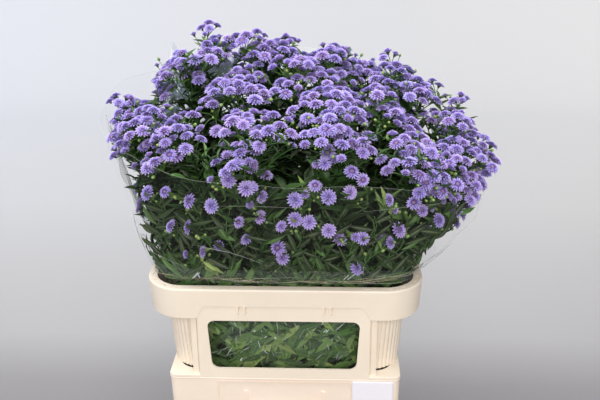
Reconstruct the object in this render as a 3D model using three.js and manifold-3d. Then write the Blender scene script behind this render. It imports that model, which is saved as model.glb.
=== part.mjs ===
// Bunch of lavender asters in a clear film sleeve, standing in a flower bucket
// with a windowed collar on top. Units are mm, +Z is up, the front faces -Y.
// The origin is the middle of the bucket's underside.
import * as THREE from "three";
import Module from "manifold-3d";

const wasm = await Module();
wasm.setup();

// bucket
const rimHeight = 322; // top of the bucket
const rimHalfX = 170; // half width of its rim
const rimHalfY = 147.5; // half depth of its rim
const wallTopX = 169.4; // half width of its wall just under the rim
const wallTopY = 146.9;
const footHalfX = 163; // half width at the foot
const footHalfY = 140;
const cornerRadius = 10;
const rimDrop = 2; // height of the rim bead
const floorThickness = 4;
const wallThickness = 3; // at the foot
const innerRadius = 8;
const mouthHalfX = 165; // half width of the mouth
const mouthHalfY = 141;
const panelDepth = 2; // recess on the front and the back
const gripHalf = 60; // half length of the carrying grip

// collar
const seatGap = 0.3; // clearance between pieces that rest on each other
const collarFoot = rimHeight + seatGap;
const shelfHeight = 420; // underside of the wide band
const collarTop = 468;
const bandHalfX = 200;
const bandHalfY = 150;
const bandRadius = 56;
const lipWidth = 13; // width of the collar's top face
const panelHalf = 124; // half width of the raised window panel
const panelFace = 147; // how far forward the panel's face stands
const panelTop = 441; // the panel's arch rises into the band
const archShoulder = 422; // where the arch's slanted corners start
const archHalf = 114; // half width of the arch's top
const windowHalfTop = 110;
const windowHalfFoot = 105;
const windowLow = 338;
const windowHigh = 417;

// plants
const sprayRings = [
  { count: 3, reach: 0.2, start: 0.5 },
  { count: 8, reach: 0.52, start: 0.2 },
  { count: 14, reach: 0.84, start: 0 },
];
const golden = Math.PI * (3 - Math.sqrt(5));
const headRadius = 20; // drawn about twice life size, so that the heads cover the bunch
const leastJoint = 12; // how much of a head is sunk in its neighbour, in cubic mm
const petalsPerTier = 5;
const frontSide = -0.3; // sprays with v under this stand at the front
const apron = {
  front: { steps: 6, lowest: 500 },
  round: { steps: 3, lowest: 560 },
}; // heads that follow one another over the shoulder of the bunch, and how low they reach
const crownMost = { outer: 5, inner: 7 }; // heads in the flat cluster on top of a stem
const lowHeadRadius = 13;
const lowHeadLevel = 510;
const leavesOuter = 13; // leaves on a stem at the outside of the bunch
const leavesInner = 2;
const crownDepth = 44; // from the highest head down to the top of its stem
const stalkRise = 34; // least height of a head over the root of its stalk
const stalkSpacing = 7; // between the roots of two stalks
const stemBends = [300, 466, 560]; // heights where the stems lean further out
const stemRadius = { foot: 3.6, top: 2.2 };
const stalksInner = 4; // heads with a stalk of their own, on a stem inside the bunch
// leaves behind the windows, with their share of an outer stem's leaves, and above the collar
const leafZones = { share: 0.4, window: [318, 385], upper: [440, 585] };
const leafLength = 88;
const leafHalfWidth = 13;
const stemFoot = 28;
const waterLevel = 64;
const waterGap = 0.4; // between the water and the wall
const stemHole = 4.8; // radius of the holes in which the stems stand

// Levels of the film sleeve. Each gives a height, the middle of the sleeve
// there, its half width and half depth, and how square its outline is.
const levels = [
  { z: 28, x: 0, y: 0, a: 118, b: 92, n: 3 },
  { z: 300, x: 0, y: 0, a: 152, b: 124, n: 4 },
  { z: 418, x: 0, y: 0, a: 168, b: 133, n: 4 },
  { z: 468.3, x: 0, y: 0, a: 186.6, b: 136.6, n: 4 },
  { z: 484, x: 2, y: -2, a: 205, b: 148, n: 3.4 },
  { z: 560, x: 28, y: -2, a: 266, b: 188, n: 2.6 },
  { z: 840, x: 12, y: 30, a: 336, b: 260, n: 2.2 },
];

// Repeatable random draws between 0 and 1.
function draws(seed) {
  let state = seed >>> 0;
  return () => {
    state = (state + 0x6d2b79f5) >>> 0;
    let t = state;
    t = Math.imul(t ^ (t >>> 15), t | 1);
    t ^= t + Math.imul(t ^ (t >>> 7), t | 61);
    return ((t ^ (t >>> 14)) >>> 0) / 4294967296;
  };
}

function blend(a, b, t) {
  return a + (b - a) * t;
}

function levelAt(z) {
  let k = 1;
  while (k < levels.length - 1 && levels[k].z < z) {
    k += 1;
  }
  const low = levels[k - 1];
  const high = levels[k];
  const t = (z - low.z) / (high.z - low.z);
  return {
    x: blend(low.x, high.x, t),
    y: blend(low.y, high.y, t),
    a: blend(low.a, high.a, t),
    b: blend(low.b, high.b, t),
    n: blend(low.n, high.n, t),
  };
}

// Distance from the middle to a squarish oval in the direction of an angle.
function ovalReach(level, angle, inset) {
  const c = Math.abs(Math.cos(angle)) / (level.a - inset);
  const s = Math.abs(Math.sin(angle)) / (level.b - inset);
  return (c ** level.n + s ** level.n) ** (-1 / level.n);
}

// Height of the sleeve's upper edge: low in front and at the right, high behind.
function sleeveTop(angle) {
  const back = Math.max(0, Math.sin(angle));
  const left = Math.max(0, -Math.cos(angle));
  const right = Math.max(0, Math.cos(angle));
  const front = 640 + 50 * left ** 4 - 62 * right ** 4;
  return front + 95 * back ** 1.5 + 40 * back * left + 9 * Math.sin(angle * 9) * (0.15 + back);
}

function solid(positions, faces) {
  let volume = 0;
  const p = positions;
  for (const [i, j, k] of faces) {
    volume += p[i].dot(new THREE.Vector3().crossVectors(p[j], p[k]));
  }
  const vertProperties = new Float32Array(p.length * 3);
  p.forEach((v, i) => vertProperties.set([v.x, v.y, v.z], i * 3));
  const order = volume > 0 ? faces : faces.map(([i, j, k]) => [i, k, j]);
  const triVerts = new Uint32Array(order.flat());
  return new wasm.Manifold(new wasm.Mesh({ numProp: 3, vertProperties, triVerts }));
}

function roundedRectangle(halfX, halfY, radius, steps) {
  const points = [];
  const corners = [[1, 1], [-1, 1], [-1, -1], [1, -1]];
  corners.forEach(([sx, sy], corner) => {
    for (let i = 0; i <= steps; i += 1) {
      const angle = (corner + i / steps) * Math.PI / 2;
      const x = sx * (halfX - radius) + radius * Math.cos(angle);
      const y = sy * (halfY - radius) + radius * Math.sin(angle);
      points.push(new THREE.Vector2(x, y));
    }
  });
  return points;
}

// A rounded rectangle whose corners carry upright ridges.
function flutedRectangle(halfX, halfY, radius, flutes, ridge) {
  const steps = flutes * 2;
  const plain = roundedRectangle(halfX, halfY, radius, steps);
  const ridged = roundedRectangle(halfX + ridge, halfY + ridge, radius + ridge, steps);
  return plain.map((p, i) => ((i % (steps + 1)) % 2 === 1 ? ridged[i] : p));
}

// A closed solid through outlines of equal point counts at rising heights.
function loft(layers) {
  const count = layers[0].outline.length;
  const positions = [];
  const faces = [];
  for (const layer of layers) {
    for (const p of layer.outline) {
      positions.push(new THREE.Vector3(p.x, p.y, layer.z));
    }
  }
  for (let row = 0; row < layers.length - 1; row += 1) {
    for (let i = 0; i < count; i += 1) {
      const a = row * count + i;
      const b = row * count + (i + 1) % count;
      faces.push([a, b, b + count]);
      faces.push([a, b + count, a + count]);
    }
  }
  const top = (layers.length - 1) * count;
  for (const [a, b, c] of THREE.ShapeUtils.triangulateShape(layers[0].outline, [])) {
    faces.push([a, c, b]);
  }
  for (const [a, b, c] of THREE.ShapeUtils.triangulateShape(layers[layers.length - 1].outline, [])) {
    faces.push([top + a, top + b, top + c]);
  }
  return solid(positions, faces);
}

function box(x0, x1, y0, y1, z0, z1) {
  const outline = [
    new THREE.Vector2(x0, y0),
    new THREE.Vector2(x1, y0),
    new THREE.Vector2(x1, y1),
    new THREE.Vector2(x0, y1),
  ];
  return loft([{ z: z0, outline }, { z: z1, outline }]);
}

// An upright outline in X and Z, run through from y0 to y1.
function slab(outline, y0, y1) {
  const positions = [];
  for (const y of [y0, y1]) {
    for (const p of outline) {
      positions.push(new THREE.Vector3(p.x, y, p.y));
    }
  }
  const count = outline.length;
  const faces = [];
  for (let i = 0; i < count; i += 1) {
    const j = (i + 1) % count;
    faces.push([i, j, j + count]);
    faces.push([i, j + count, i + count]);
  }
  for (const [a, b, c] of THREE.ShapeUtils.triangulateShape(outline, [])) {
    faces.push([a, c, b]);
    faces.push([a + count, b + count, c + count]);
  }
  return solid(positions, faces);
}

// A rod through points, with a radius at each. It may end in a cup, hollowed
// towards its seat and facing along an axis.
function rod(points, radii, sides, cup) {
  const positions = [];
  const faces = [];
  let side = null;
  let before = null;
  points.forEach((p, row) => {
    const next = points[Math.min(row + 1, points.length - 1)];
    const last = points[Math.max(row - 1, 0)];
    const ends = cup && row === points.length - 1;
    const way = ends ? cup.axis.clone() : next.clone().sub(last).normalize();
    if (side === null) {
      const helper = Math.abs(way.z) > 0.9 ? new THREE.Vector3(1, 0, 0) : new THREE.Vector3(0, 0, 1);
      side = helper.cross(way).normalize();
    } else {
      side.applyQuaternion(new THREE.Quaternion().setFromUnitVectors(before, way));
    }
    before = way;
    const other = way.clone().cross(side);
    for (let i = 0; i < sides; i += 1) {
      const angle = (i / sides) * Math.PI * 2;
      const out = side.clone().multiplyScalar(Math.cos(angle) * radii[row]);
      out.addScaledVector(other, Math.sin(angle) * radii[row]);
      positions.push(p.clone().add(out));
    }
  });
  for (let row = 0; row < points.length - 1; row += 1) {
    for (let i = 0; i < sides; i += 1) {
      const a = row * sides + i;
      const b = row * sides + (i + 1) % sides;
      faces.push([a, b, b + sides]);
      faces.push([a, b + sides, a + sides]);
    }
  }
  const top = (points.length - 1) * sides;
  for (let i = 1; i < sides - 1; i += 1) {
    faces.push([0, i + 1, i]);
    if (!cup) {
      faces.push([top, top + i, top + i + 1]);
    }
  }
  if (cup) {
    positions.push(cup.seat);
    for (let i = 0; i < sides; i += 1) {
      faces.push([top + i, top + (i + 1) % sides, positions.length - 1]);
    }
  }
  return solid(positions, faces);
}

function joined(list) {
  let whole = list[0];
  for (const piece of list.slice(1)) {
    whole = whole.add(piece);
  }
  return whole;
}

function geometryOf(manifold) {
  const mesh = manifold.getMesh();
  const positions = new Float32Array(mesh.numVert * 3);
  for (let i = 0; i < mesh.numVert; i += 1) {
    for (let c = 0; c < 3; c += 1) {
      positions[i * 3 + c] = mesh.vertProperties[i * mesh.numProp + c];
    }
  }
  const geometry = new THREE.BufferGeometry();
  geometry.setAttribute("position", new THREE.BufferAttribute(positions, 3));
  geometry.setIndex(new THREE.BufferAttribute(new Uint32Array(mesh.triVerts), 1));
  geometry.computeVertexNormals();
  return geometry;
}

const group = new THREE.Group();
group.name = "potted_aster";

const finishes = {
  creamPlastic: { color: 0xf1e3cf, roughness: 0.45, metalness: 0 },
  bucketPlastic: { color: 0xf2dfcb, roughness: 0.5, metalness: 0 },
  paper: { color: 0xf4f1f2, roughness: 0.85, metalness: 0 },
  water: { color: 0xbfcfc4, roughness: 0.05, metalness: 0 },
  film: { color: 0xd9dfe0, roughness: 0.12, metalness: 0, transparent: true, opacity: 0.3 },
  green: { color: 0x3f6a2c, roughness: 0.6, metalness: 0 },
  lavender: { color: 0x9b86d9, roughness: 0.75, metalness: 0 },
};

function place(name, manifold, finish) {
  const material = new THREE.MeshStandardMaterial({ ...finishes[finish], flatShading: true });
  const mesh = new THREE.Mesh(geometryOf(manifold), material);
  mesh.name = name;
  group.add(mesh);
}

function buildBucket() {
  const under = rimHeight - rimDrop;
  const wall = loft([
    { z: 0, outline: roundedRectangle(footHalfX, footHalfY, 10, 3) },
    { z: under + 1, outline: roundedRectangle(wallTopX, wallTopY, cornerRadius, 3) },
  ]);
  const bead = loft([
    { z: under, outline: roundedRectangle(rimHalfX, rimHalfY, cornerRadius, 3) },
    { z: rimHeight, outline: roundedRectangle(rimHalfX, rimHalfY, cornerRadius, 3) },
  ]);
  const hollow = loft([
    {
      z: floorThickness,
      outline: roundedRectangle(footHalfX - wallThickness, footHalfY - wallThickness, innerRadius, 3),
    },
    { z: rimHeight + 1, outline: roundedRectangle(mouthHalfX, mouthHalfY, innerRadius, 3) },
  ]);
  let bucket = wall.add(bead);
  for (const side of [-1, 1]) {
    const recess = [];
    for (const p of roundedRectangle(97, 129, 6, 2)) {
      recess.push(new THREE.Vector2(p.x, p.y + 186));
    }
    // the recess follows the wall's slope
    const slope = (wallTopY - footHalfY) / (under + 1);
    const cutter = slab(recess, side * (footHalfY - panelDepth), side * (footHalfY + 40));
    const lean = new THREE.Matrix4().makeShear(0, 0, 0, 0, 0, side * slope);
    bucket = bucket.subtract(sheared(cutter, lean));
    const face = footHalfY + slope * 290;
    const low = side < 0 ? -(face + 4) : face - panelDepth - 1;
    const high = side < 0 ? -(face - panelDepth - 1) : face + 4;
    bucket = bucket.add(box(-gripHalf, gripHalf, low, high, 278, 284));
    bucket = bucket.add(box(-gripHalf, -gripHalf + 6, low, high, 283, 299));
    bucket = bucket.add(box(gripHalf - 6, gripHalf, low, high, 283, 299));
  }
  return bucket.subtract(hollow);
}

function sheared(manifold, matrix) {
  const mesh = manifold.getMesh();
  const positions = [];
  for (let i = 0; i < mesh.numVert; i += 1) {
    const at = i * mesh.numProp;
    const v = new THREE.Vector3(...mesh.vertProperties.slice(at, at + 3));
    positions.push(v.applyMatrix4(matrix));
  }
  const faces = [];
  for (let i = 0; i < mesh.triVerts.length; i += 3) {
    faces.push([...mesh.triVerts.slice(i, i + 3)]);
  }
  return solid(positions, faces);
}

function buildCollar() {
  const band = loft([
    { z: shelfHeight, outline: roundedRectangle(bandHalfX - 3, bandHalfY - 2, bandRadius - 2, 5) },
    { z: collarTop - 3, outline: roundedRectangle(bandHalfX, bandHalfY, bandRadius, 5) },
    { z: collarTop, outline: roundedRectangle(bandHalfX - 1.5, bandHalfY - 1.5, bandRadius - 1.5, 5) },
  ]);
  const body = loft([
    { z: collarFoot, outline: flutedRectangle(168, 126, 44, 5, 2) },
    { z: shelfHeight + 1, outline: flutedRectangle(176, 128, 46, 5, 2) },
  ]);
  const base = loft([
    { z: collarFoot, outline: roundedRectangle(rimHalfX, rimHalfY, cornerRadius, 3) },
    { z: collarFoot + 4, outline: roundedRectangle(rimHalfX, rimHalfY, cornerRadius, 3) },
  ]);
  const tongue = loft([
    { z: collarFoot - 10, outline: roundedRectangle(mouthHalfX - 0.8, mouthHalfY - 0.8, 8, 2) },
    { z: collarFoot + 1, outline: roundedRectangle(mouthHalfX - 0.8, mouthHalfY - 0.8, 8, 2) },
  ]);
  let collar = band.add(body).add(base).add(tongue);
  const arch = [
    new THREE.Vector2(-panelHalf, collarFoot),
    new THREE.Vector2(panelHalf, collarFoot),
    new THREE.Vector2(panelHalf, archShoulder),
    new THREE.Vector2(archHalf, panelTop),
    new THREE.Vector2(-archHalf, panelTop),
    new THREE.Vector2(-panelHalf, archShoulder),
  ];
  for (const side of [-1, 1]) {
    const recess = slab(arch, side * panelFace, side * (bandHalfY + 5));
    const panel = box(-panelHalf, panelHalf, Math.min(side * 120, side * panelFace),
      Math.max(side * 120, side * panelFace), collarFoot, shelfHeight + 1);
    collar = collar.subtract(recess).add(panel);
    for (const x of [-65, -55, 57, 67]) {
      const near = side * (panelFace - 1);
      const far = side * (panelFace + 1.6);
      collar = collar.add(box(x - 1.2, x + 1.2, Math.min(near, far), Math.max(near, far), 424, 437));
    }
  }
  collar = collar.subtract(loft([
    { z: shelfHeight + 3, outline: roundedRectangle(bandHalfX - lipWidth, bandHalfY - lipWidth, 43, 5) },
    { z: collarTop + 1, outline: roundedRectangle(bandHalfX - lipWidth, bandHalfY - lipWidth, 43, 5) },
  ]));
  collar = collar.subtract(loft([
    { z: collarFoot + 4, outline: roundedRectangle(164.5, 122.5, 40, 5) },
    { z: shelfHeight + 4, outline: roundedRectangle(172.5, 124.5, 42, 5) },
  ]));
  collar = collar.subtract(box(-120, 120, -panelFace + 3.5, panelFace - 3.5, collarFoot + 4, 437));
  collar = collar.subtract(loft([
    { z: collarFoot - 11, outline: roundedRectangle(158, 128, 26, 4) },
    { z: collarFoot + 5, outline: roundedRectangle(158, 128, 26, 4) },
  ]));
  const opening = [];
  for (const p of roundedRectangle(windowHalfTop, (windowHigh - windowLow) / 2, 11, 3)) {
    const height = p.y + (windowHigh + windowLow) / 2;
    const narrow = blend(windowHalfFoot, windowHalfTop, (height - windowLow) / (windowHigh - windowLow));
    opening.push(new THREE.Vector2(p.x * narrow / windowHalfTop, height));
  }
  collar = collar.subtract(slab(opening, -panelFace - 5, panelFace + 5));
  // small slots along the top face
  for (const side of [-1, 1]) {
    for (const k of [-2, 2]) {
      const y = side * (bandHalfY - 6);
      collar = collar.subtract(box(k * 60 - 4, k * 60 + 4, y - 1.2, y + 1.2, collarTop - 2.5, collarTop + 1));
    }
    for (const k of [-1, 1]) {
      const x = side * (bandHalfX - 6);
      collar = collar.subtract(box(x - 1.2, x + 1.2, k * 60 - 4, k * 60 + 4, collarTop - 2.5, collarTop + 1));
    }
  }
  return collar;
}

function buildSleeve() {
  const around = 28;
  const heights = [300, 418, 468.3, 484, 560];
  const rings = heights.length + 1;
  const thickness = 0.9;
  const positions = [];
  const faces = [];
  for (const inset of [0, thickness]) {
    for (let row = 0; row < rings; row += 1) {
      for (let i = 0; i < around; i += 1) {
        const angle = (i / around) * Math.PI * 2;
        const z = row < heights.length ? heights[row] : sleeveTop(angle);
        const level = levelAt(z);
        const reach = ovalReach(level, angle, inset);
        positions.push(new THREE.Vector3(
          level.x + reach * Math.cos(angle),
          level.y + reach * Math.sin(angle),
          z,
        ));
      }
    }
  }
  const inner = rings * around;
  for (let row = 0; row < rings - 1; row += 1) {
    for (let i = 0; i < around; i += 1) {
      const a = row * around + i;
      const b = row * around + (i + 1) % around;
      faces.push([a, b, b + around]);
      faces.push([a, b + around, a + around]);
      faces.push([inner + a, inner + b + around, inner + b]);
      faces.push([inner + a, inner + a + around, inner + b + around]);
    }
  }
  const top = (rings - 1) * around;
  for (let i = 0; i < around; i += 1) {
    const j = (i + 1) % around;
    faces.push([i, inner + i, inner + j]);
    faces.push([i, inner + j, j]);
    faces.push([top + i, top + j, top + inner + j]);
    faces.push([top + i, top + inner + j, top + inner + i]);
  }
  return solid(positions, faces);
}

// Every spray keeps to its own part of the bunch, the points nearer to it than
// to any other spray, so that no two sprays touch.
const sprays = [];
sprayRings.forEach(({ count, reach, start }, ring) => {
  for (let i = 0; i < count; i += 1) {
    const draw = draws(900 + sprays.length);
    const angle = start + ((i + 0.3 * (draw() - 0.5)) / count) * Math.PI * 2;
    const r = reach + 0.06 * (draw() - 0.5);
    const lift = 26 * draw() - 12;
    const outer = ring === sprayRings.length - 1;
    sprays.push({ u: r * Math.cos(angle), v: r * Math.sin(angle), angle, lift, outer });
  }
});
const sprayCount = sprays.length;

function spotAt(u, v, z) {
  const level = levelAt(z);
  return new THREE.Vector3(level.x + level.a * u, level.y + level.b * v, z);
}

function isClear(point, own, margin) {
  const level = levelAt(point.z);
  const x = point.x - level.x;
  const y = point.y - level.y;
  for (let k = 0; k < sprayCount; k += 1) {
    if (k !== own) {
      const dx = level.a * (sprays[k].u - sprays[own].u);
      const dy = level.b * (sprays[k].v - sprays[own].v);
      const mx = level.a * (sprays[k].u + sprays[own].u) / 2;
      const my = level.b * (sprays[k].v + sprays[own].v) / 2;
      if (((x - mx) * dx + (y - my) * dy) / Math.hypot(dx, dy) > -margin) {
        return false;
      }
    }
  }
  const angle = Math.atan2(y, x);
  const spills = Math.cos(angle) > 0.5 && point.z > sleeveTop(angle) + 16;
  const inset = spills ? -14 : 5;
  return Math.hypot(x, y) < ovalReach(level, angle, inset);
}

// Height of the bunch's upper surface.
function crownHeight(x, y) {
  const level = levelAt(700);
  const u = (x - level.x) / level.a;
  const v = (y - level.y) / level.b;
  const s = Math.min(0.995, Math.hypot(u, v));
  const peak = 40 * Math.exp(-((u + 0.4) ** 2 + (v - 0.1) ** 2) / 0.03);
  const fall = 95 * Math.max(0, u - 0.2) + 60 * Math.max(0, -u - 0.5);
  return 640 + (130 - 14 * u) * Math.sqrt(1 - s ** 3) + peak - fall;
}

// The section of a head, in parts of its radius.
const headForm = { foot: -0.45, crown: 0.5, tip: -0.06, notch: 0.66, innerTip: 0.8, innerLift: 0.34 };

// One double flower head: two tiers of pointed petals over a cone. One petal
// points along a given way.
function headSolid(centre, axis, radius, way) {
  const side = way.clone().addScaledVector(axis, -way.dot(axis)).normalize();
  const other = axis.clone().cross(side);
  const at = (angle, reach, height) => centre.clone()
    .addScaledVector(side, Math.cos(angle) * reach * radius)
    .addScaledVector(other, Math.sin(angle) * reach * radius)
    .addScaledVector(axis, height * radius);
  const positions = [at(0, 0, headForm.foot), at(0, 0, headForm.crown)];
  const faces = [];
  const count = petalsPerTier * 2;
  for (let j = 0; j < count; j += 1) {
    const angle = (j / count) * Math.PI * 2;
    positions.push(j % 2 === 0 ? at(angle, 1, headForm.tip) : at(angle, headForm.notch, 0));
  }
  for (let j = 1; j < count; j += 2) {
    positions.push(at((j / count) * Math.PI * 2, headForm.innerTip, headForm.innerLift));
  }
  const ring = (j) => 2 + (j + count) % count;
  const upper = (k) => 2 + count + (k + petalsPerTier) % petalsPerTier;
  for (let k = 0; k < petalsPerTier; k += 1) {
    const tip = ring(2 * k);
    faces.push([tip, ring(2 * k + 1), upper(k)]);
    faces.push([tip, upper(k), upper(k - 1)]);
    faces.push([tip, upper(k - 1), ring(2 * k - 1)]);
    faces.push([1, upper(k - 1), upper(k)]);
    faces.push([0, ring(2 * k + 1), tip]);
    faces.push([0, tip, ring(2 * k - 1)]);
  }
  return { positions, faces };
}

// Lance-shaped leaf with a keeled back, from its root to its tip.
function leafSolid(root, way, length, halfWidth) {
  const droop = 0.12;
  const flat = new THREE.Vector3(-way.y, way.x, 0).normalize();
  const up = way.clone().cross(flat);
  if (up.z < 0) {
    up.negate();
  }
  const at = (along, across, lift) => root.clone()
    .addScaledVector(way, along * length)
    .addScaledVector(flat, across * halfWidth)
    .addScaledVector(up, lift - droop * along * along * length);
  const positions = [
    at(0, 0, 0),
    at(0.45, -1, 0),
    at(1, 0, 0),
    at(0.45, 1, 0),
    at(0.45, 0, 1.5),
    at(0.4, 0, -0.6),
  ];
  const faces = [];
  for (let i = 0; i < 4; i += 1) {
    const j = (i + 1) % 4;
    faces.push([i, j, 4]);
    faces.push([j, i, 5]);
  }
  return { positions, faces };
}

// Adds heads one by one: each grows into one that is there already, keeps its
// distance from the rest and stays in the spray's own part of the bunch.
function addHeads(own, heads, spots, most) {
  const near = headRadius * 1.52;
  const far = headRadius * 1.78;
  for (const spot of spots) {
    if (heads.length >= most) {
      break;
    }
    const distances = heads.map((head) => head.centre.distanceTo(spot.centre));
    const closest = distances.indexOf(Math.min(...distances));
    if (heads.length > 0 && (distances[closest] < near || distances[closest] > far)) {
      continue;
    }
    const first = heads.length === 0;
    const way = first ? new THREE.Vector3(1, 0.3, 0) : heads[closest].centre.clone().sub(spot.centre);
    const shape = headSolid(spot.centre, spot.axis, headRadius, way);
    if (shape.positions.every((p) => isClear(p, own, 0.4))) {
      const piece = solid(shape.positions, shape.faces);
      if (first || piece.intersect(heads[closest].piece).volume() > leastJoint) {
        heads.push({ ...spot, piece });
      }
    }
  }
}

// Every place on the crown that a head of this spray may take, nearest first.
function crownSpots(own, start) {
  const middle = spotAt(sprays[own].u, sprays[own].v, 720);
  const step = 3;
  const reach = 30;
  const spots = [];
  for (let i = -reach; i <= reach; i += 1) {
    for (let j = -reach; j <= reach; j += 1) {
      const dx = i * step;
      const dy = j * step;
      const x = middle.x + dx;
      const y = middle.y + dy;
      const z = crownHeight(x, y) + sprays[own].lift - (dx * dx + dy * dy) / 190;
      const gx = (crownHeight(x - 4, y) - crownHeight(x + 4, y)) / 8;
      const gy = (crownHeight(x, y - 4) - crownHeight(x, y + 4)) / 8;
      const slope = new THREE.Vector2(gx, gy).clampLength(0, 0.9).multiplyScalar(0.7);
      const axis = new THREE.Vector3(dx / 110 + slope.x, dy / 110 + slope.y, 1).normalize();
      const order = Math.hypot(dx - start.x, dy - start.y);
      spots.push({ centre: new THREE.Vector3(x, y, z), axis, order });
    }
  }
  return spots.sort((p, q) => p.order - q.order);
}

function crownHeads(own) {
  const draw = draws(3000 + own);
  let best = [];
  for (let trial = 0; trial < 10; trial += 1) {
    const start = new THREE.Vector2((draw() - 0.5) * 50, (draw() - 0.5) * 50);
    const found = [];
    addHeads(own, found, crownSpots(own, start), sprays[own].outer ? crownMost.outer : crownMost.inner);
    if (found.length > best.length) {
      best = found;
    }
  }
  return best;
}

// Heads that follow one another from the crown over the shoulder of the bunch
// and down its outside.
function addApron(own, heads, { steps, lowest }) {
  const level = levelAt(660);
  const outwards = ({ centre }) => Math.hypot((centre.x - level.x) / level.a, (centre.y - level.y) / level.b);
  let last = heads.reduce((p, q) => (outwards(q) > outwards(p) ? q : p));
  for (let step = 0; step < steps; step += 1) {
    const out = new THREE.Vector3(last.centre.x - level.x, last.centre.y - level.y, 0).normalize();
    const down = out.clone().multiplyScalar(0.7).add(new THREE.Vector3(0, 0, -1));
    down.addScaledVector(last.axis, -down.dot(last.axis)).normalize();
    let next = null;
    for (const shift of [0, 4, 8, 12, 16, 20, 24, 28]) {
      for (const fan of [0, 0.35, -0.35, 0.7, -0.7, 1, -1]) {
        if (next === null) {
          const way = down.clone().applyAxisAngle(last.axis, fan);
          const centre = last.centre.clone()
            .addScaledVector(way, headRadius * 1.42)
            .addScaledVector(last.axis, headRadius * -0.3)
            .addScaledVector(out, -shift);
          const axis = last.axis.clone().addScaledVector(way, 0.4);
          axis.z = Math.max(axis.z, 0.12);
          next = tryHead(own, heads, last, centre, axis.normalize());
        }
      }
    }
    if (next === null || next.centre.z < lowest) {
      break;
    }
    heads.push(next);
    last = next;
  }
}

function tryHead(own, heads, parent, centre, axis) {
  if (heads.some((head) => head.centre.distanceTo(centre) < headRadius * 1.2)) {
    return null;
  }
  const shape = headSolid(centre, axis, headRadius, parent.centre.clone().sub(centre));
  if (!shape.positions.every((p) => isClear(p, own, 0.4))) {
    return null;
  }
  const piece = solid(shape.positions, shape.faces);
  return piece.intersect(parent.piece).volume() > leastJoint ? { centre, axis, piece } : null;
}

// The point of a stem at a height.
function onStem(points, z) {
  let k = 1;
  while (k < points.length - 1 && points[k].z < z) {
    k += 1;
  }
  const t = (z - points[k - 1].z) / (points[k].z - points[k - 1].z);
  return points[k - 1].clone().lerp(points[k], t);
}

// The stalks of a spray's heads, which leave the stem one under the other.
function stalksOf(spray, stemPoints, heads, bloom) {
  const stalks = [];
  let fork = stemPoints[stemPoints.length - 1].z - 3;
  for (const head of [...heads].sort((p, q) => q.centre.z - p.centre.z)) {
    const start = onStem(stemPoints, Math.min(fork, head.centre.z - stalkRise));
    const seat = head.centre.clone().addScaledVector(head.axis, headForm.foot * headRadius - seatGap);
    // the green cup under a head is as wide as its neighbours leave room for
    for (const width of [5, 4, 3, 2]) {
      const brim = seat.clone().addScaledVector(head.axis, width * 0.19);
      const stalk = rod([start, brim], [1, width], 3, { seat, axis: head.axis });
      if (stalk.intersect(bloom).isEmpty()) {
        stalks.push(stalk);
        fork = start.z - stalkSpacing;
        break;
      }
    }
    if (!spray.outer && stalks.length === stalksInner) {
      break;
    }
  }
  return stalks;
}

// A single head lower down at the front, on a stalk of its own.
function lowHead(own, start, draw, growth, heads) {
  for (let attempt = 0; attempt < 30; attempt += 1) {
    const way = tilted(sprays[own].angle + (draw() - 0.5) * 2.2, 0.5 + draw() * 0.6);
    const centre = start.clone().addScaledVector(way, blend(38, 58, draw()));
    const shape = headSolid(centre, way, lowHeadRadius, new THREE.Vector3(0, 0, 1));
    const nearHead = heads.some((head) => head.centre.distanceTo(centre) < headRadius + lowHeadRadius + 3);
    if (!nearHead && shape.positions.every((p) => isClear(p, own, 0.4))) {
      const piece = solid(shape.positions, shape.faces);
      if (piece.intersect(growth).isEmpty()) {
        return piece.add(rod([start, centre], [1.2, 2.4], 3, null));
      }
    }
  }
  return null;
}

function tilted(aim, rise) {
  return new THREE.Vector3(Math.cos(aim) * Math.cos(rise), Math.sin(aim) * Math.cos(rise), Math.sin(rise));
}

function growSpray(own) {
  const spray = sprays[own];
  const draw = draws(7000 + own);
  const heads = crownHeads(own);
  if (spray.outer) {
    addApron(own, heads, spray.v < frontSide ? apron.front : apron.round);
  }
  const bloom = joined(heads.map((head) => head.piece));

  const stemTop = Math.max(...heads.map((head) => head.centre.z)) - crownDepth;
  const stemHeights = [stemFoot, ...stemBends, stemTop];
  const stemPoints = stemHeights.map((z) => spotAt(spray.u, spray.v, z));
  const stemRadii = stemHeights.map((z) => blend(stemRadius.foot, stemRadius.top, z / stemTop));
  const stem = rod(stemPoints, stemRadii, 3, null);
  let growth = joined(stalksOf(spray, stemPoints, heads, bloom));
  if (spray.outer && spray.v < 0.1) {
    const low = lowHead(own, onStem(stemPoints, lowHeadLevel), draw, growth, heads);
    growth = low === null ? growth : growth.add(low);
  }

  let turn = draw() * Math.PI * 2;
  const wanted = spray.outer ? leavesOuter : leavesInner;
  for (let k = 0; k < wanted; k += 1) {
    const zone = spray.outer && k < wanted * leafZones.share ? leafZones.window : leafZones.upper;
    const root = onStem(stemPoints, blend(zone[0], zone[1], draw()));
    for (let attempt = 0; attempt < 18; attempt += 1) {
      turn += golden;
      const outward = spray.angle + (draw() - 0.5) * 2.4;
      const aim = spray.outer && attempt % 4 !== 3 ? outward : turn;
      const rise = spray.outer ? 0.7 + draw() * 0.6 : 0.3 + draw() * 0.8;
      const size = 1 - attempt / 26;
      const leaf = leafSolid(root, tilted(aim, rise), leafLength * size, leafHalfWidth * size);
      if (leaf.positions.every((p) => isClear(p, own, 0.5))) {
        const blade = solid(leaf.positions, leaf.faces);
        if (blade.intersect(bloom).isEmpty() && blade.intersect(growth).isEmpty()) {
          growth = growth.add(blade);
          break;
        }
      }
    }
  }
  return { bloom, stems: stem.add(growth) };
}

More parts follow.
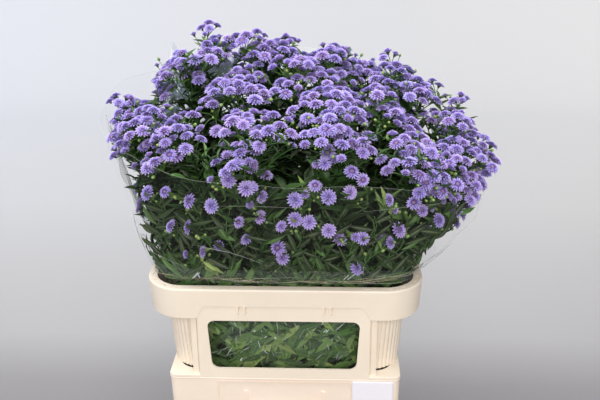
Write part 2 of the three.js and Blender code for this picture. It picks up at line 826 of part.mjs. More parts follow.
function buildWater() {
  const layers = [floorThickness + seatGap, waterLevel].map((z) => {
    const t = (z - floorThickness) / (rimHeight + 1 - floorThickness);
    const halfX = blend(footHalfX - wallThickness, mouthHalfX, t) - waterGap;
    const halfY = blend(footHalfY - wallThickness, mouthHalfY, t) - waterGap;
    return { z, outline: roundedRectangle(halfX, halfY, innerRadius, 3) };
  });
  let water = loft(layers);
  for (const spray of sprays) {
    const foot = spotAt(spray.u, spray.v, stemFoot);
    const above = spotAt(spray.u, spray.v, 300);
    const way = above.clone().sub(foot).normalize();
    const start = foot.clone().addScaledVector(way, -1);
    const end = foot.clone().addScaledVector(way, waterLevel - stemFoot + 6);
    water = water.subtract(rod([start, end], [stemHole, stemHole], 3, null));
  }
  return water;
}

function buildLabel() {
  const slope = (wallTopY - footHalfY) / (rimHeight - rimDrop + 1);
  const outline = [
    new THREE.Vector2(99, 274),
    new THREE.Vector2(160, 274),
    new THREE.Vector2(160, 319.5),
    new THREE.Vector2(99, 319.5),
  ];
  const sheet = slab(outline, -(footHalfY + seatGap + 0.05), -(footHalfY + seatGap + 0.75));
  return sheared(sheet, new THREE.Matrix4().makeShear(0, 0, 0, 0, 0, -slope));
}

place("bucket", buildBucket(), "bucketPlastic");
place("collar", buildCollar(), "creamPlastic");
place("label", buildLabel(), "paper");
place("water", buildWater(), "water");
place("film_sleeve", buildSleeve(), "film");
for (let k = 0; k < sprayCount; k += 1) {
  const grown = growSpray(k);
  const number = String(k + 1).padStart(2, "0");
  place(`spray_${number}_stem_and_leaves`, grown.stems, "green");
  place(`spray_${number}_flowers`, grown.bloom, "lavender");
}

export default group;
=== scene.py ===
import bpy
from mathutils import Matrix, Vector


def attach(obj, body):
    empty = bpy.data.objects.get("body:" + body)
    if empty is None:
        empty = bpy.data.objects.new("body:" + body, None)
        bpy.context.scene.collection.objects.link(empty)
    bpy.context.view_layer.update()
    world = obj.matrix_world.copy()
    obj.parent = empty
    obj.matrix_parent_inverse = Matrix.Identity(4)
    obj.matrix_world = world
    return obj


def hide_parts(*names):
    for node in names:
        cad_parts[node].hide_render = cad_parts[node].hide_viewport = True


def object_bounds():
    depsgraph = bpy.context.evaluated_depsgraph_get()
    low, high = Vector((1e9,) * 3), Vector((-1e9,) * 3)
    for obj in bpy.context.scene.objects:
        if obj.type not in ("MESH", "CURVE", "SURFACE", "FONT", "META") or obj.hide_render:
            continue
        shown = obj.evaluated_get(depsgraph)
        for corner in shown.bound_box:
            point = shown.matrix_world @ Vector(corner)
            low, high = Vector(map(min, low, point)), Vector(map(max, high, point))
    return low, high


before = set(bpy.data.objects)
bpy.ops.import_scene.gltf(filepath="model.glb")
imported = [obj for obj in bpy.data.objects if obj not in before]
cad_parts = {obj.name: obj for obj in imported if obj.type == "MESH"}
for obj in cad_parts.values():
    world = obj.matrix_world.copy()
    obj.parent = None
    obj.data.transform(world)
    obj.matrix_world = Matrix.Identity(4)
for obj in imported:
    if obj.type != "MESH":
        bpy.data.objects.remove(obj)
cadBox = [list(corner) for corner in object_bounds()]

import math
import random

import bmesh
import bpy
import numpy as np
from mathutils import Matrix, Vector, noise

mm = 0.001
fullTurn = 2 * math.pi
goldenAngle = math.pi * (3 - math.sqrt(5))
skyward = Vector((0, 0, 1))
scene = bpy.context.scene
scene.view_settings.view_transform = "Standard"


def between(low, high, share):
    return low + (high - low) * share


def smoothStep(low, high, value):
    t = min(1, max(0, (value - low) / (high - low)))
    return t * t * (3 - 2 * t)


def heading(angle, rise=0.0):
    return Vector((math.cos(angle), math.sin(angle), rise))


def linearColour(hexValue):
    parts = [int(hexValue[i:i + 2], 16) / 255 for i in (1, 3, 5)]
    return tuple(c / 12.92 if c <= 0.04045 else ((c + 0.055) / 1.055) ** 2.4 for c in parts) + (1.0,)


# Adds a node with its settings, its inputs (links, values or hex colours) and,
# on a ramp, its stops.
def addNode(tree, kind, inputs=None, stops=(), **settings):
    node = tree.nodes.new(kind)
    for key, value in settings.items():
        setattr(node, key, value)
    for key, value in (inputs or {}).items():
        if isinstance(value, bpy.types.NodeSocket):
            tree.links.new(value, node.inputs[key])
        else:
            node.inputs[key].default_value = linearColour(value) if isinstance(value, str) else value
    if stops:
        while len(node.color_ramp.elements) < len(stops):
            node.color_ramp.elements.new(0.5)
        for element, (place, colour) in zip(node.color_ramp.elements, stops):
            element.position = place
            element.color = linearColour(colour)
    return node


def newMaterial(name):
    material = bpy.data.materials.new(name)
    material.use_nodes = True
    material.node_tree.nodes.clear()
    return material, material.node_tree


def finishMaterial(material, shader):
    addNode(material.node_tree, "ShaderNodeOutputMaterial", {"Surface": shader.outputs[0]})
    return material


# Polypropylene, injection moulded from a lightly eroded tool: a satin surface
# with a fine grain that softens the highlights, and faint clouding from handling.
def makePolypropylene(name, settings):
    material, tree = newMaterial(name)
    place = addNode(tree, "ShaderNodeTexCoord").outputs["Object"]
    # clouding about 60 mm across
    cloud = addNode(tree, "ShaderNodeTexNoise", {"Vector": place, "Scale": 16.0, "Detail": 4.0, "Roughness": 0.6})
    tint = addNode(tree, "ShaderNodeValToRGB", {"Fac": cloud.outputs["Fac"]},
                   [(0.32, settings["shadeColour"]), (0.68, settings["colour"])])
    # rub marks a few millimetres long, from the buckets it is stacked with
    stretch = addNode(tree, "ShaderNodeMapping", {"Vector": place, "Scale": (60.0, 60.0, 420.0)})
    marks = addNode(tree, "ShaderNodeTexNoise",
                    {"Vector": stretch.outputs[0], "Scale": 1.0, "Detail": 3.0, "Roughness": 0.7})
    markMask = addNode(tree, "ShaderNodeMapRange", {
        "Value": marks.outputs["Fac"], "From Min": 0.6, "From Max": 0.78, "To Min": 0.0, "To Max": 0.16})
    colour = addNode(tree, "ShaderNodeMix", {0: markMask.outputs[0], 6: tint.outputs[0],
                                             7: settings["markColour"]}, data_type="RGBA")
    gloss = addNode(tree, "ShaderNodeMapRange", {
        "Value": cloud.outputs["Fac"], "To Min": settings["roughness"] - 0.05,
        "To Max": settings["roughness"] + 0.07})
    # eroded grain is about 0.4 mm, drawn at 1.2 mm so that it shows
    grain = addNode(tree, "ShaderNodeTexNoise", {"Vector": place, "Scale": 850.0, "Detail": 2.0})
    bump = addNode(tree, "ShaderNodeBump", {"Strength": 0.12, "Distance": 0.0004, "Height": grain.outputs["Fac"]})
    return finishMaterial(material, addNode(tree, "ShaderNodeBsdfPrincipled", {
        "Base Color": colour.outputs[2], "Roughness": gloss.outputs[0], "Normal": bump.outputs[0], "IOR": 1.49}))


# Aster ray florets: matt and velvety, pale at the tips and deep violet at the base, where the rays shade each other.
# Each head has a tone of its own and leans more or less to a pinker violet.
def makePetals():
    material, tree = newMaterial("asterPetals")
    tone = addNode(tree, "ShaderNodeAttribute", attribute_name="tone")
    mood = addNode(tree, "ShaderNodeAttribute", attribute_name="mood")
    # the ramp's dark root is a painted shade where the rays shade each other, and its palest tips are partly a
    # painted highlight
    ray = addNode(tree, "ShaderNodeValToRGB", {"Fac": tone.outputs["Fac"]},
                  [(0.0, "#2e2654"), (0.3, "#675aa8"), (0.65, "#a092da"), (1.0, "#d8d0f6")])
    pinker = addNode(tree, "ShaderNodeValToRGB", {"Fac": tone.outputs["Fac"]},
                     [(0.0, "#3a2a54"), (0.3, "#765ea6"), (0.65, "#ae99da"), (1.0, "#dccef6")])
    colour = addNode(tree, "ShaderNodeMix", {0: mood.outputs["Fac"], 6: ray.outputs[0], 7: pinker.outputs[0]},
                     data_type="RGBA")
    return finishMaterial(material, addNode(tree, "ShaderNodeBsdfPrincipled", {
        "Base Color": colour.outputs[2], "Roughness": 0.62, "IOR": 1.4, "Sheen Weight": 0.25,
        "Sheen Roughness": 0.4, "Specular IOR Level": 0.3}))


# The disc at the middle of an open head: crowded tiny florets, a dull pinkish violet.
def makeDisc():
    material, tree = newMaterial("asterDisc")
    place = addNode(tree, "ShaderNodeTexCoord").outputs["Object"]
    grain = addNode(tree, "ShaderNodeTexNoise", {"Vector": place, "Scale": 900.0, "Detail": 2.0})
    tint = addNode(tree, "ShaderNodeValToRGB", {"Fac": grain.outputs["Fac"]}, [(0.3, "#64486f"), (0.6, "#97759a")])
    return finishMaterial(material, addNode(tree, "ShaderNodeBsdfPrincipled", {
        "Base Color": tint.outputs[0], "Roughness": 0.8, "IOR": 1.4}))


# Fresh aster leaves and stems: waxy, dark green where a painted shade lies deep in the bunch and paler outside it,
# with a paler midrib and faint side veins.
def makeFoliage():
    material, tree = newMaterial("asterFoliage")
    tone = addNode(tree, "ShaderNodeAttribute", attribute_name="tone")
    mood = addNode(tree, "ShaderNodeAttribute", attribute_name="mood")
    fresh = addNode(tree, "ShaderNodeValToRGB", {"Fac": tone.outputs["Fac"]}, [
        (0.0, "#10240f"), (0.3, "#2a4b26"), (0.55, "#4b7339"), (0.8, "#7a9a55"), (1.0, "#b3bf75")])
    dull = addNode(tree, "ShaderNodeMix", {0: mood.outputs["Fac"], 6: fresh.outputs[0], 7: "#3b4d2c"},
                   data_type="RGBA")
    grid = addNode(tree, "ShaderNodeUVMap", uv_map="leafGrid")
    across = addNode(tree, "ShaderNodeSeparateXYZ", {"Vector": grid.outputs[0]})
    offset = addNode(tree, "ShaderNodeMath", {0: across.outputs["X"], 1: 0.5}, operation="SUBTRACT")
    distance = addNode(tree, "ShaderNodeMath", {0: offset.outputs[0]}, operation="ABSOLUTE")
    midrib = addNode(tree, "ShaderNodeMapRange", {
        "Value": distance.outputs[0], "From Min": 0.02, "From Max": 0.07, "To Min": 0.4, "To Max": 0.0})
    # side veins leave the midrib every 5 mm or so
    slant = addNode(tree, "ShaderNodeMath", {0: across.outputs["Y"], 1: distance.outputs[0]}, operation="SUBTRACT")
    waves = addNode(tree, "ShaderNodeMath", {0: slant.outputs[0], 1: 75.0}, operation="MULTIPLY")
    ripple = addNode(tree, "ShaderNodeMath", {0: waves.outputs[0]}, operation="SINE")
    veins = addNode(tree, "ShaderNodeMapRange", {
        "Value": ripple.outputs[0], "From Min": 0.82, "From Max": 1.0, "To Min": 0.0, "To Max": 0.18})
    lines = addNode(tree, "ShaderNodeMath", {0: midrib.outputs[0], 1: veins.outputs[0]}, operation="MAXIMUM")
    colour = addNode(tree, "ShaderNodeMix", {0: lines.outputs[0], 6: dull.outputs[2], 7: "#93a866"},
                     data_type="RGBA")
    bump = addNode(tree, "ShaderNodeBump", {"Strength": 0.35, "Distance": 0.0006, "Height": lines.outputs[0]})
    return finishMaterial(material, addNode(tree, "ShaderNodeBsdfPrincipled", {
        "Base Color": colour.outputs[2], "Roughness": 0.4, "IOR": 1.45, "Specular IOR Level": 0.36,
        "Normal": bump.outputs[0]}))


# Cast polypropylene film, 0.04 mm: two glossy faces that send back about a tenth of the light and lay a faint grey
# veil over what is behind them. Where it is welded, folded or crumpled it lets less through. Its pale fold lines and
# hem are a painted highlight, its white glints are painted glints, and the beige folds along the lip carry a painted
# sheen.
def makeFilm(name, alpha, metallic, colour, roughness):
    material, tree = newMaterial(name)
    return finishMaterial(material, addNode(tree, "ShaderNodeBsdfPrincipled", {
        "Base Color": colour, "Roughness": roughness, "Metallic": metallic,
        "IOR": 1.49, "Alpha": alpha, "Specular IOR Level": 0.8}))


# Uncoated label paper, calendered: matt, with fibre clouding a few millimetres wide.
def makePaper():
    material, tree = newMaterial("uncoatedPaper")
    place = addNode(tree, "ShaderNodeTexCoord").outputs["Object"]
    fibre = addNode(tree, "ShaderNodeTexNoise",
                    {"Vector": place, "Scale": 320.0, "Detail": 5.0, "Roughness": 0.7})
    tint = addNode(tree, "ShaderNodeValToRGB", {"Fac": fibre.outputs["Fac"]}, [(0.3, "#ecebf6"), (0.7, "#f3f2fa")])
    bump = addNode(tree, "ShaderNodeBump", {"Strength": 0.15, "Distance": 0.0002, "Height": fibre.outputs["Fac"]})
    return finishMaterial(material, addNode(tree, "ShaderNodeBsdfPrincipled", {
        "Base Color": tint.outputs[0], "Roughness": 0.85, "IOR": 1.5, "Normal": bump.outputs[0]}))


# Water with a faint green cast from the cut stems.
def makeWater():
    material, tree = newMaterial("stemWater")
    return finishMaterial(material, addNode(tree, "ShaderNodeBsdfPrincipled", {
        "Base Color": "#bfcfc4", "Roughness": 0.03, "IOR": 1.333, "Alpha": 0.45}))


# Matt paint on floor and backdrop, with a painted shade: darker in front and paler behind.
def makeBackdrop():
    material, tree = newMaterial("paintedFloor")
    place = addNode(tree, "ShaderNodeTexCoord").outputs["Object"]
    depth = addNode(tree, "ShaderNodeSeparateXYZ", {"Vector": place})
    # the painted shade fades over two and a half metres
    share = addNode(tree, "ShaderNodeMapRange", {"Value": depth.outputs["Y"], "From Min": 0.1, "From Max": 2.6})
    tint = addNode(tree, "ShaderNodeValToRGB", {"Fac": share.outputs[0]}, [
        (0.0, "#7c7b7d"), (0.09, "#8a898b"), (0.17, "#a5a4a6"), (0.5, "#bbbbbc"), (1.0, "#c8c8ca")])
    return finishMaterial(material, addNode(tree, "ShaderNodeBsdfPrincipled",
                                            {"Base Color": tint.outputs[0], "Roughness": 0.9}))


# alpha, metallic, colour and roughness
filmFinishes = {
    "clearFilm": (0.022, 0.75, "#e4e8ea", 0.26), "gatheredFilm": (0.075, 0.9, "#dbe6f0", 0.1),
    "filmEdge": (0.17, 0.0, "#d3d9d3", 0.5), "weldedFilm": (0.42, 0.4, "#9aa5a1", 0.2),
    "standingFilm": (0.34, 0.2, "#a3b4c2", 0.2), "creasedFilm": (0.6, 0.2, "#e9eff1", 0.3),
    "crumpledFilm": (0.3, 0.5, "#b9b294", 0.3),
}
collarPlastic = makePolypropylene("collarPolypropylene", {
    "colour": "#f3e8d8", "shadeColour": "#eee2d1", "markColour": "#d9c7ae", "roughness": 0.42})
# the bucket's colour is paler than the collar's, a painted light that makes up for the shade on its leaning wall
bucketPlastic = makePolypropylene("bucketPolypropylene", {
    "colour": "#f8eadc", "shadeColour": "#f4e4d4", "markColour": "#dfccb8", "roughness": 0.62})
petals, disc, foliage = makePetals(), makeDisc(), makeFoliage()
films = {name: makeFilm(name, *finish) for name, finish in filmFinishes.items()}
paper, waterMaterial = makePaper(), makeWater()
print("materials made")


def linkObject(name, data):
    thing = bpy.data.objects.new(name, data)
    scene.collection.objects.link(thing)
    return thing


def meshFrom(bm, name):
    mesh = bpy.data.meshes.new(name)
    bm.to_mesh(mesh)
    bm.free()
    return mesh


def shade(mesh, degrees):
    mesh.shade_smooth()
    mesh.set_sharp_from_angle(angle=math.radians(degrees))


def objectFrom(bm, name, materials=(), smooth=None):
    mesh = meshFrom(bm, name)
    for material in materials:
        mesh.materials.append(material)
    if smooth is not None:
        shade(mesh, smooth)
    return linkObject(name, mesh)


def finishedMesh(piece):
    graph = bpy.context.evaluated_depsgraph_get()
    return bpy.data.meshes.new_from_object(piece.evaluated_get(graph))


def addModifier(piece, kind, **settings):
    modifier = piece.modifiers.new(kind.lower(), kind)
    for key, value in settings.items():
        setattr(modifier, key, value)


# Puts the result of a piece's modifiers into its mesh.
def applyModifiers(piece):
    done, old = finishedMesh(piece), piece.data
    piece.modifiers.clear()
    done.name = piece.name
    piece.data = done
    bpy.data.meshes.remove(old)


# Turns all faces of a sheet to one side, its first face towards a direction.
def faceTowards(bm, direction):
    bmesh.ops.recalc_face_normals(bm, faces=bm.faces)
    bm.faces.ensure_lookup_table()
    if bm.faces[0].normal.dot(direction) < 0:
        bmesh.ops.reverse_faces(bm, faces=bm.faces)


# Moulded edges: how many steps round each one, and the angles in degrees from
# which an edge is rounded and from which it shades as sharp.
edgeFinish = {"segments": 2, "roundedFrom": 40, "sharpFrom": 35}


# Joins and cuts closed forms in the order given, rounds the edges and shades them.
def combine(name, first, steps, bevelWidth, material):
    piece = objectFrom(first, name)
    tools = [(operation, objectFrom(form, "tool")) for operation, form in steps]
    for operation, tool in tools:
        addModifier(piece, "BOOLEAN", operation=operation, object=tool, solver="MANIFOLD")
    addModifier(piece, "BEVEL", width=bevelWidth * mm, segments=edgeFinish["segments"], limit_method="ANGLE",
                angle_limit=math.radians(edgeFinish["roundedFrom"]), use_clamp_overlap=True)
    applyModifiers(piece)
    for _, tool in tools:
        bpy.data.objects.remove(tool)
    piece.data.materials.clear()
    piece.data.materials.append(material)
    for polygon in piece.data.polygons:
        polygon.material_index = 0
    shade(piece.data, edgeFinish["sharpFrom"])
    # flat walls keep their own direction, so that only the rounded edges shade
    addModifier(piece, "WEIGHTED_NORMAL", keep_sharp=True, weight=100)
    applyModifiers(piece)
    return piece


# An oblong with round corners, which may be fluted. Sizes are in millimetres.
def roundedOutline(halfX, halfY, radius, steps, ridge=0.0, flutes=0):
    points = []
    for corner, (sx, sy) in enumerate(((1, 1), (-1, 1), (-1, -1), (1, -1))):
        for i in range(steps + 1):
            angle = (corner + i / steps) * math.pi / 2
            reach = radius
            if flutes:
                reach += ridge * abs(math.sin(math.pi * flutes * i / steps)) ** 0.8
            points.append((sx * (halfX - radius) + reach * math.cos(angle),
                           sy * (halfY - radius) + reach * math.sin(angle)))
    return points


# A closed form through outlines at rising heights, in millimetres.
def loft(levels):
    bm = bmesh.new()
    rings = []
    faces = []
    for height, outline in levels:
        ring = bmesh.ops.create_circle(bm, segments=len(outline), radius=1.0)["verts"]
        for vert, (x, y) in zip(ring, outline):
            vert.co = (x * mm, y * mm, height * mm)
        rings.append(list(dict.fromkeys(edge for vert in ring for edge in vert.link_edges)))
    for low, high in zip(rings, rings[1:]):
        faces += bmesh.ops.bridge_loops(bm, edges=low + high)["faces"]
    for ring in (rings[0], rings[-1]):
        faces += bmesh.ops.edgeloop_fill(bm, edges=ring)["faces"]
    bm.normal_update()
    bmesh.ops.recalc_face_normals(bm, faces=faces)
    return bm


def prism(outline, low, high):
    return loft([(low, outline), (high, outline)])


# An outline in X and Z, run through from y0 to y1, leaning by slope in Y with height.
def slab(outline, y0, y1, slope=0.0):
    bm = prism(outline, y0, y1)
    for vert in bm.verts:
        x, z, y = vert.co
        vert.co = (x, y + slope * z, z)
    bm.normal_update()
    bmesh.ops.recalc_face_normals(bm, faces=bm.faces)
    return bm


def addBox(bm, x0, x1, y0, y1, z0, z1):
    y0, y1 = sorted((y0, y1))
    size = Matrix.Diagonal(((x1 - x0) * mm, (y1 - y0) * mm, (z1 - z0) * mm, 1))
    middle = Matrix.Translation(((x0 + x1) / 2 * mm, (y0 + y1) / 2 * mm, (z0 + z1) / 2 * mm))
    bmesh.ops.create_cube(bm, size=1.0, matrix=middle @ size)
    return bm


bucketSizes = {
    "rimHeight": 322, "rimHalfX": 170, "rimHalfY": 147.5, "rimDrop": 2, "wallTopX": 169.4, "wallTopY": 146.9,
    "corner": 10, "footHalfX": 163, "footHalfY": 140, "footCorner": 12, "footEdge": 2, "floor": 4, "wall": 3,
    "mouthHalfX": 165, "mouthHalfY": 141, "innerCorner": 8, "steps": 12, "edgeRadius": 0.7,
    # the recessed panel on the front and the back, and the mould's joint lines round it
    "panelHalfX": 97, "panelHalfZ": 129, "panelMiddle": 186, "panelCorner": 6, "panelDepth": 2,
    "jointDepth": 1.1, "cutReach": 40,
    "joints": ((-99.2, -97.8, 70, 315.5), (97.8, 99.2, 70, 315.5), (-99.2, 99.2, 316, 317.3)),
    # the bar in it that fingers hold, with a bracket at each end
    "gripHalf": 60, "gripLow": 268, "gripHigh": 274, "bracketLow": 273, "bracketHigh": 299, "bracketWidth": 6,
    "gripAt": 290, "gripReach": 4, "gripSunk": 1, "bracketReach": 0.6, "bracketSunk": 0.9,
}
wallTop = bucketSizes["rimHeight"] - bucketSizes["rimDrop"] + 1
wallSlope = (bucketSizes["wallTopY"] - bucketSizes["footHalfY"]) / wallTop


def makeBucket():
    s = bucketSizes
    top, under, steps, footEdge, grip = s["rimHeight"], wallTop - 1, s["steps"], s["footEdge"], s["gripHalf"]
    footX, footY = s["footHalfX"], s["footHalfY"]
    wall = loft([(0, roundedOutline(footX - footEdge, footY - footEdge, s["footCorner"] - footEdge, steps)),
                 (footEdge, roundedOutline(footX, footY, s["footCorner"], steps)),
                 (wallTop, roundedOutline(s["wallTopX"], s["wallTopY"], s["corner"], steps))])
    # the rim's bead draws in a little at its foot and its top
    bead = loft([(z, roundedOutline(s["rimHalfX"] - d, s["rimHalfY"] - d, s["corner"] - d, steps))
                 for z, d in ((under, 0.2), (under + 0.3, 0), (top - 0.8, 0), (top, 0.7))])
    hollow = loft([
        (s["floor"], roundedOutline(footX - s["wall"], footY - s["wall"], s["innerCorner"], steps)),
        (top + 1, roundedOutline(s["mouthHalfX"], s["mouthHalfY"], s["innerCorner"], steps))])
    panel = [(x, z + s["panelMiddle"]) for x, z in roundedOutline(s["panelHalfX"], s["panelHalfZ"],
                                                                 s["panelCorner"], s["panelCorner"])]
    changes = [("UNION", bead)]
    bars, brackets = bmesh.new(), bmesh.new()
    for side in (-1, 1):
        lean, outside = side * wallSlope, side * (footY + s["cutReach"])
        changes.append(("DIFFERENCE", slab(panel, side * (footY - s["panelDepth"]), outside, lean)))
        for x0, x1, z0, z1 in s["joints"]:
            joint = [(x0, z0), (x1, z0), (x1, z1), (x0, z1)]
            changes.append(("DIFFERENCE", slab(joint, side * (footY - s["jointDepth"]), outside, lean)))
        face = footY + wallSlope * s["gripAt"]
        back = face - s["panelDepth"]
        addBox(bars, -grip, grip, side * (back - s["gripSunk"]), side * (face + s["gripReach"]),
               s["gripLow"], s["gripHigh"])
        for x in (-grip, grip - s["bracketWidth"]):
            addBox(brackets, x, x + s["bracketWidth"], side * (back - s["bracketSunk"]),
                   side * (face + s["bracketReach"]), s["bracketLow"], s["bracketHigh"])
    changes += [("UNION", bars), ("UNION", brackets), ("DIFFERENCE", hollow)]
    return combine("bucket_shell", wall, changes, s["edgeRadius"], bucketPlastic)


bucket = makeBucket()
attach(bucket, "root")
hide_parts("bucket")
print("bucket made")

collarSizes = {
    "foot": 322.3, "shelf": 420, "top": 468, "bandHalfX": 200, "bandHalfY": 150, "bandRadius": 56,
    "lip": 13, "lipRadius": 43, "steps": 40, "edgeRadius": 0.6,
    # the wall under the band: half sizes and corner at foot and top, outside and inside, and its flutes
    "wallFoot": (167.4, 125.4, 43.4), "wallTop": (175.4, 127.4, 45.4), "ridge": 1.5, "flutes": 10,
    "innerFoot": (164.5, 122.5, 40), "innerTop": (172.5, 124.5, 42), "footHole": (158, 128, 26),
    # the panel on the front and the back, the strip behind it and the window through both
    "panelHalf": 124, "panelFace": 147, "panelTop": 441, "archShoulder": 422, "archHalf": 114,
    "stripHalf": 134, "stripFace": 142.5, "hollowHalf": 120.5, "hollowTop": 437,
    "windowTop": 110, "windowFoot": 105, "windowLow": 338, "windowHigh": 417, "windowCorner": 11,
    # small ribs over the panel, each with a notch beside it, and a groove down each side of the panel
    "ribs": (-65, -55, 57, 67), "ribHalf": 1.4, "ribLow": 429, "ribHigh": 441.5, "ribReach": {-1: 2.6, 1: 3.4},
    "notch": (1.7, 4), "notchDepth": 2.4, "grooveHalf": 1.2, "grooveDepth": 2.2, "formBack": 120, "overlap": 0.06,
    # slots in the band's top: four round each corner, two in each side and two in each end
    "cornerSlots": (8, 30, 60, 82), "cornerSlotSize": (2.2, 7, 5), "cornerSlotInset": 7,
    "slotHalfWidth": 1.2, "slotHalfLength": 4, "slotInset": 6, "slotDepth": 2.5, "sideSlot": 120, "endSlot": 60,
}


def makeCollar():
    s = collarSizes
    foot, shelf, top, face, half = s["foot"], s["shelf"], s["top"], s["panelFace"], s["panelHalf"]
    back, over = s["formBack"], s["overlap"]
    band = loft([(z, roundedOutline(s["bandHalfX"] - dx, s["bandHalfY"] - dy, s["bandRadius"] - dy, s["steps"]))
                 for z, dx, dy in ((shelf, 3.8, 2.8), (shelf + 0.9, 3, 2), (top - 3, 0, 0), (top - 1.6, 0.3, 0.3),
                                   (top - 0.5, 0.9, 0.9), (top, 2.0, 2.0))])
    body = loft([(foot + 0.15, roundedOutline(*s["wallFoot"], 60, s["ridge"], s["flutes"])),
                 (shelf + 1, roundedOutline(*s["wallTop"], 60, s["ridge"], s["flutes"]))])
    rim = (bucketSizes["rimHalfX"], bucketSizes["rimHalfY"], bucketSizes["corner"])
    base = loft([(foot + z, roundedOutline(*(size - d for size in rim), 12))
                 for z, d in ((0, 0.5), (0.6, 0), (3.4, 0), (4, 0.6))])
    # the foot reaches into the bucket's mouth
    mouth = (bucketSizes["mouthHalfX"] - 0.8, bucketSizes["mouthHalfY"] - 0.8)
    tongue = prism(roundedOutline(*mouth, bucketSizes["innerCorner"], 8), foot - 10, foot + 1)
    arch = [(-half, foot), (half, foot), (half, s["archShoulder"]), (s["archHalf"], s["panelTop"]),
            (-s["archHalf"], s["panelTop"]), (-half, s["archShoulder"])]
    changes = [("UNION", band), ("UNION", base), ("UNION", tongue)]
    strips, panels, ribs, grooves, notches = (bmesh.new() for _ in range(5))
    for side in (-1, 1):
        changes.append(("DIFFERENCE", slab(arch, side * face, side * (s["bandHalfY"] + 5))))
        addBox(panels, -half - over, half + over, side * back, side * (face - over), foot + 0.1, shelf + 1.4)
        addBox(strips, -s["stripHalf"], s["stripHalf"], side * back, side * s["stripFace"], foot + 0.2, shelf + 0.8)
        for x in s["ribs"]:
            addBox(ribs, x - s["ribHalf"], x + s["ribHalf"], side * (face - 1), side * (face + s["ribReach"][side]),
                   s["ribLow"], s["ribHigh"])
            addBox(notches, x + s["notch"][0], x + s["notch"][1], side * (face - s["notchDepth"]), side * (face + 3),
                   s["ribLow"], s["ribHigh"] - 1.5)
        for x in (-half - 1, half + 1):
            addBox(grooves, x - s["grooveHalf"], x + s["grooveHalf"], side * (s["stripFace"] - s["grooveDepth"]),
                   side * (face + 1), foot + 6, shelf - 1)
    changes += [("UNION", strips), ("UNION", panels), ("UNION", ribs), ("DIFFERENCE", grooves),
                ("DIFFERENCE", notches)]
    lip = roundedOutline(s["bandHalfX"] - s["lip"], s["bandHalfY"] - s["lip"], s["lipRadius"], 24)
    floor = foot + 3.7
    hollow = face - 3.5
    middle, halfHigh = (s["windowLow"] + s["windowHigh"]) / 2, (s["windowHigh"] - s["windowLow"]) / 2
    opening = []
    for x, z in roundedOutline(s["windowTop"], halfHigh, s["windowCorner"], 8):
        narrow = between(s["windowFoot"], s["windowTop"], (z + halfHigh) / (2 * halfHigh))
        opening.append((x * narrow / s["windowTop"], z + middle))
    cuts = (prism(lip, shelf + 3, top + 1),
            loft([(floor, roundedOutline(*s["innerFoot"], 24)), (shelf + 4, roundedOutline(*s["innerTop"], 24))]),
            addBox(bmesh.new(), -s["hollowHalf"], s["hollowHalf"], -hollow, hollow, floor - 0.2, s["hollowTop"]),
            prism(roundedOutline(*s["footHole"], 16), foot - 11, foot + 5),
            slab(opening, -face - 5, face + 5), collarSlots())
    changes += [("DIFFERENCE", cut) for cut in cuts]
    return combine("collar_shell", body, changes, s["edgeRadius"], collarPlastic)


def collarSlots():
    s = collarSizes
    slots = bmesh.new()
    reach = s["bandRadius"] - s["cornerSlotInset"]
    wide, long, low, high = s["slotHalfWidth"], s["slotHalfLength"], s["top"] - s["slotDepth"], s["top"] + 1
    for sx in (-1, 1):
        for sy in (-1, 1):
            for degrees in s["cornerSlots"]:
                angle = math.radians(degrees)
                x = sx * (s["bandHalfX"] - s["bandRadius"] + reach * math.cos(angle))
                y = sy * (s["bandHalfY"] - s["bandRadius"] + reach * math.sin(angle))
                turn = Matrix.Rotation(math.atan2(sy * math.sin(angle), sx * math.cos(angle)), 4, "Z")
                size = Matrix.Diagonal((*(length * mm for length in s["cornerSlotSize"]), 1))
                place = Matrix.Translation((x * mm, y * mm, s["top"] * mm))
                bmesh.ops.create_cube(slots, size=1.0, matrix=place @ turn @ size)
    for side in (-1, 1):
        x, y = side * (s["bandHalfX"] - s["slotInset"]), side * (s["bandHalfY"] - s["slotInset"])
        for at in (-s["sideSlot"], s["sideSlot"]):
            addBox(slots, at - long, at + long, y - wide, y + wide, low, high)
        for at in (-s["endSlot"], s["endSlot"]):
            addBox(slots, x - wide, x + wide, at - long, at + long, low, high)
    return slots


collar = makeCollar()
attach(collar, "root")
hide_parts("collar")
print("collar made")

labelSizes = {"left": 99, "right": 160, "low": 274, "high": 319.3, "thickness": 0.3, "lift": 0.5,
              "curl": 1.6, "curlFrom": 0.55, "curlSpan": 0.45, "wave": 0.25}


# A sheet of paper held at its upper edge, its lower right corner curling off the wall.
def makeLabel():
    s = labelSizes
    bm = bmesh.new()
    bmesh.ops.create_grid(bm, x_segments=16, y_segments=14, size=0.5)
    for vert in bm.verts:
        along, up = vert.co.x + 0.5, vert.co.y + 0.5
        x, z = between(s["left"], s["right"], along), between(s["low"], s["high"], up)
        curl = (s["curl"] * (max(0, along - s["curlFrom"]) / s["curlSpan"]) ** 2 * (1 - up)
                + s["wave"] * math.sin(along * 5) * (1 - up))
        y = -(bucketSizes["footHalfY"] + wallSlope * z) - s["lift"] - curl
        vert.co = (x * mm, y * mm, z * mm)
    faceTowards(bm, Vector((0, -1, 0)))
    piece = objectFrom(bm, "label_sheet", [paper], 60)
    addModifier(piece, "SOLIDIFY", thickness=s["thickness"] * mm, offset=-1)
    applyModifiers(piece)
    return piece


label = makeLabel()
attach(label, "root")
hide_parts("label")

for waterSlot in bpy.data.objects["water"].material_slots:
    waterSlot.material = waterMaterial
print("label and water made")


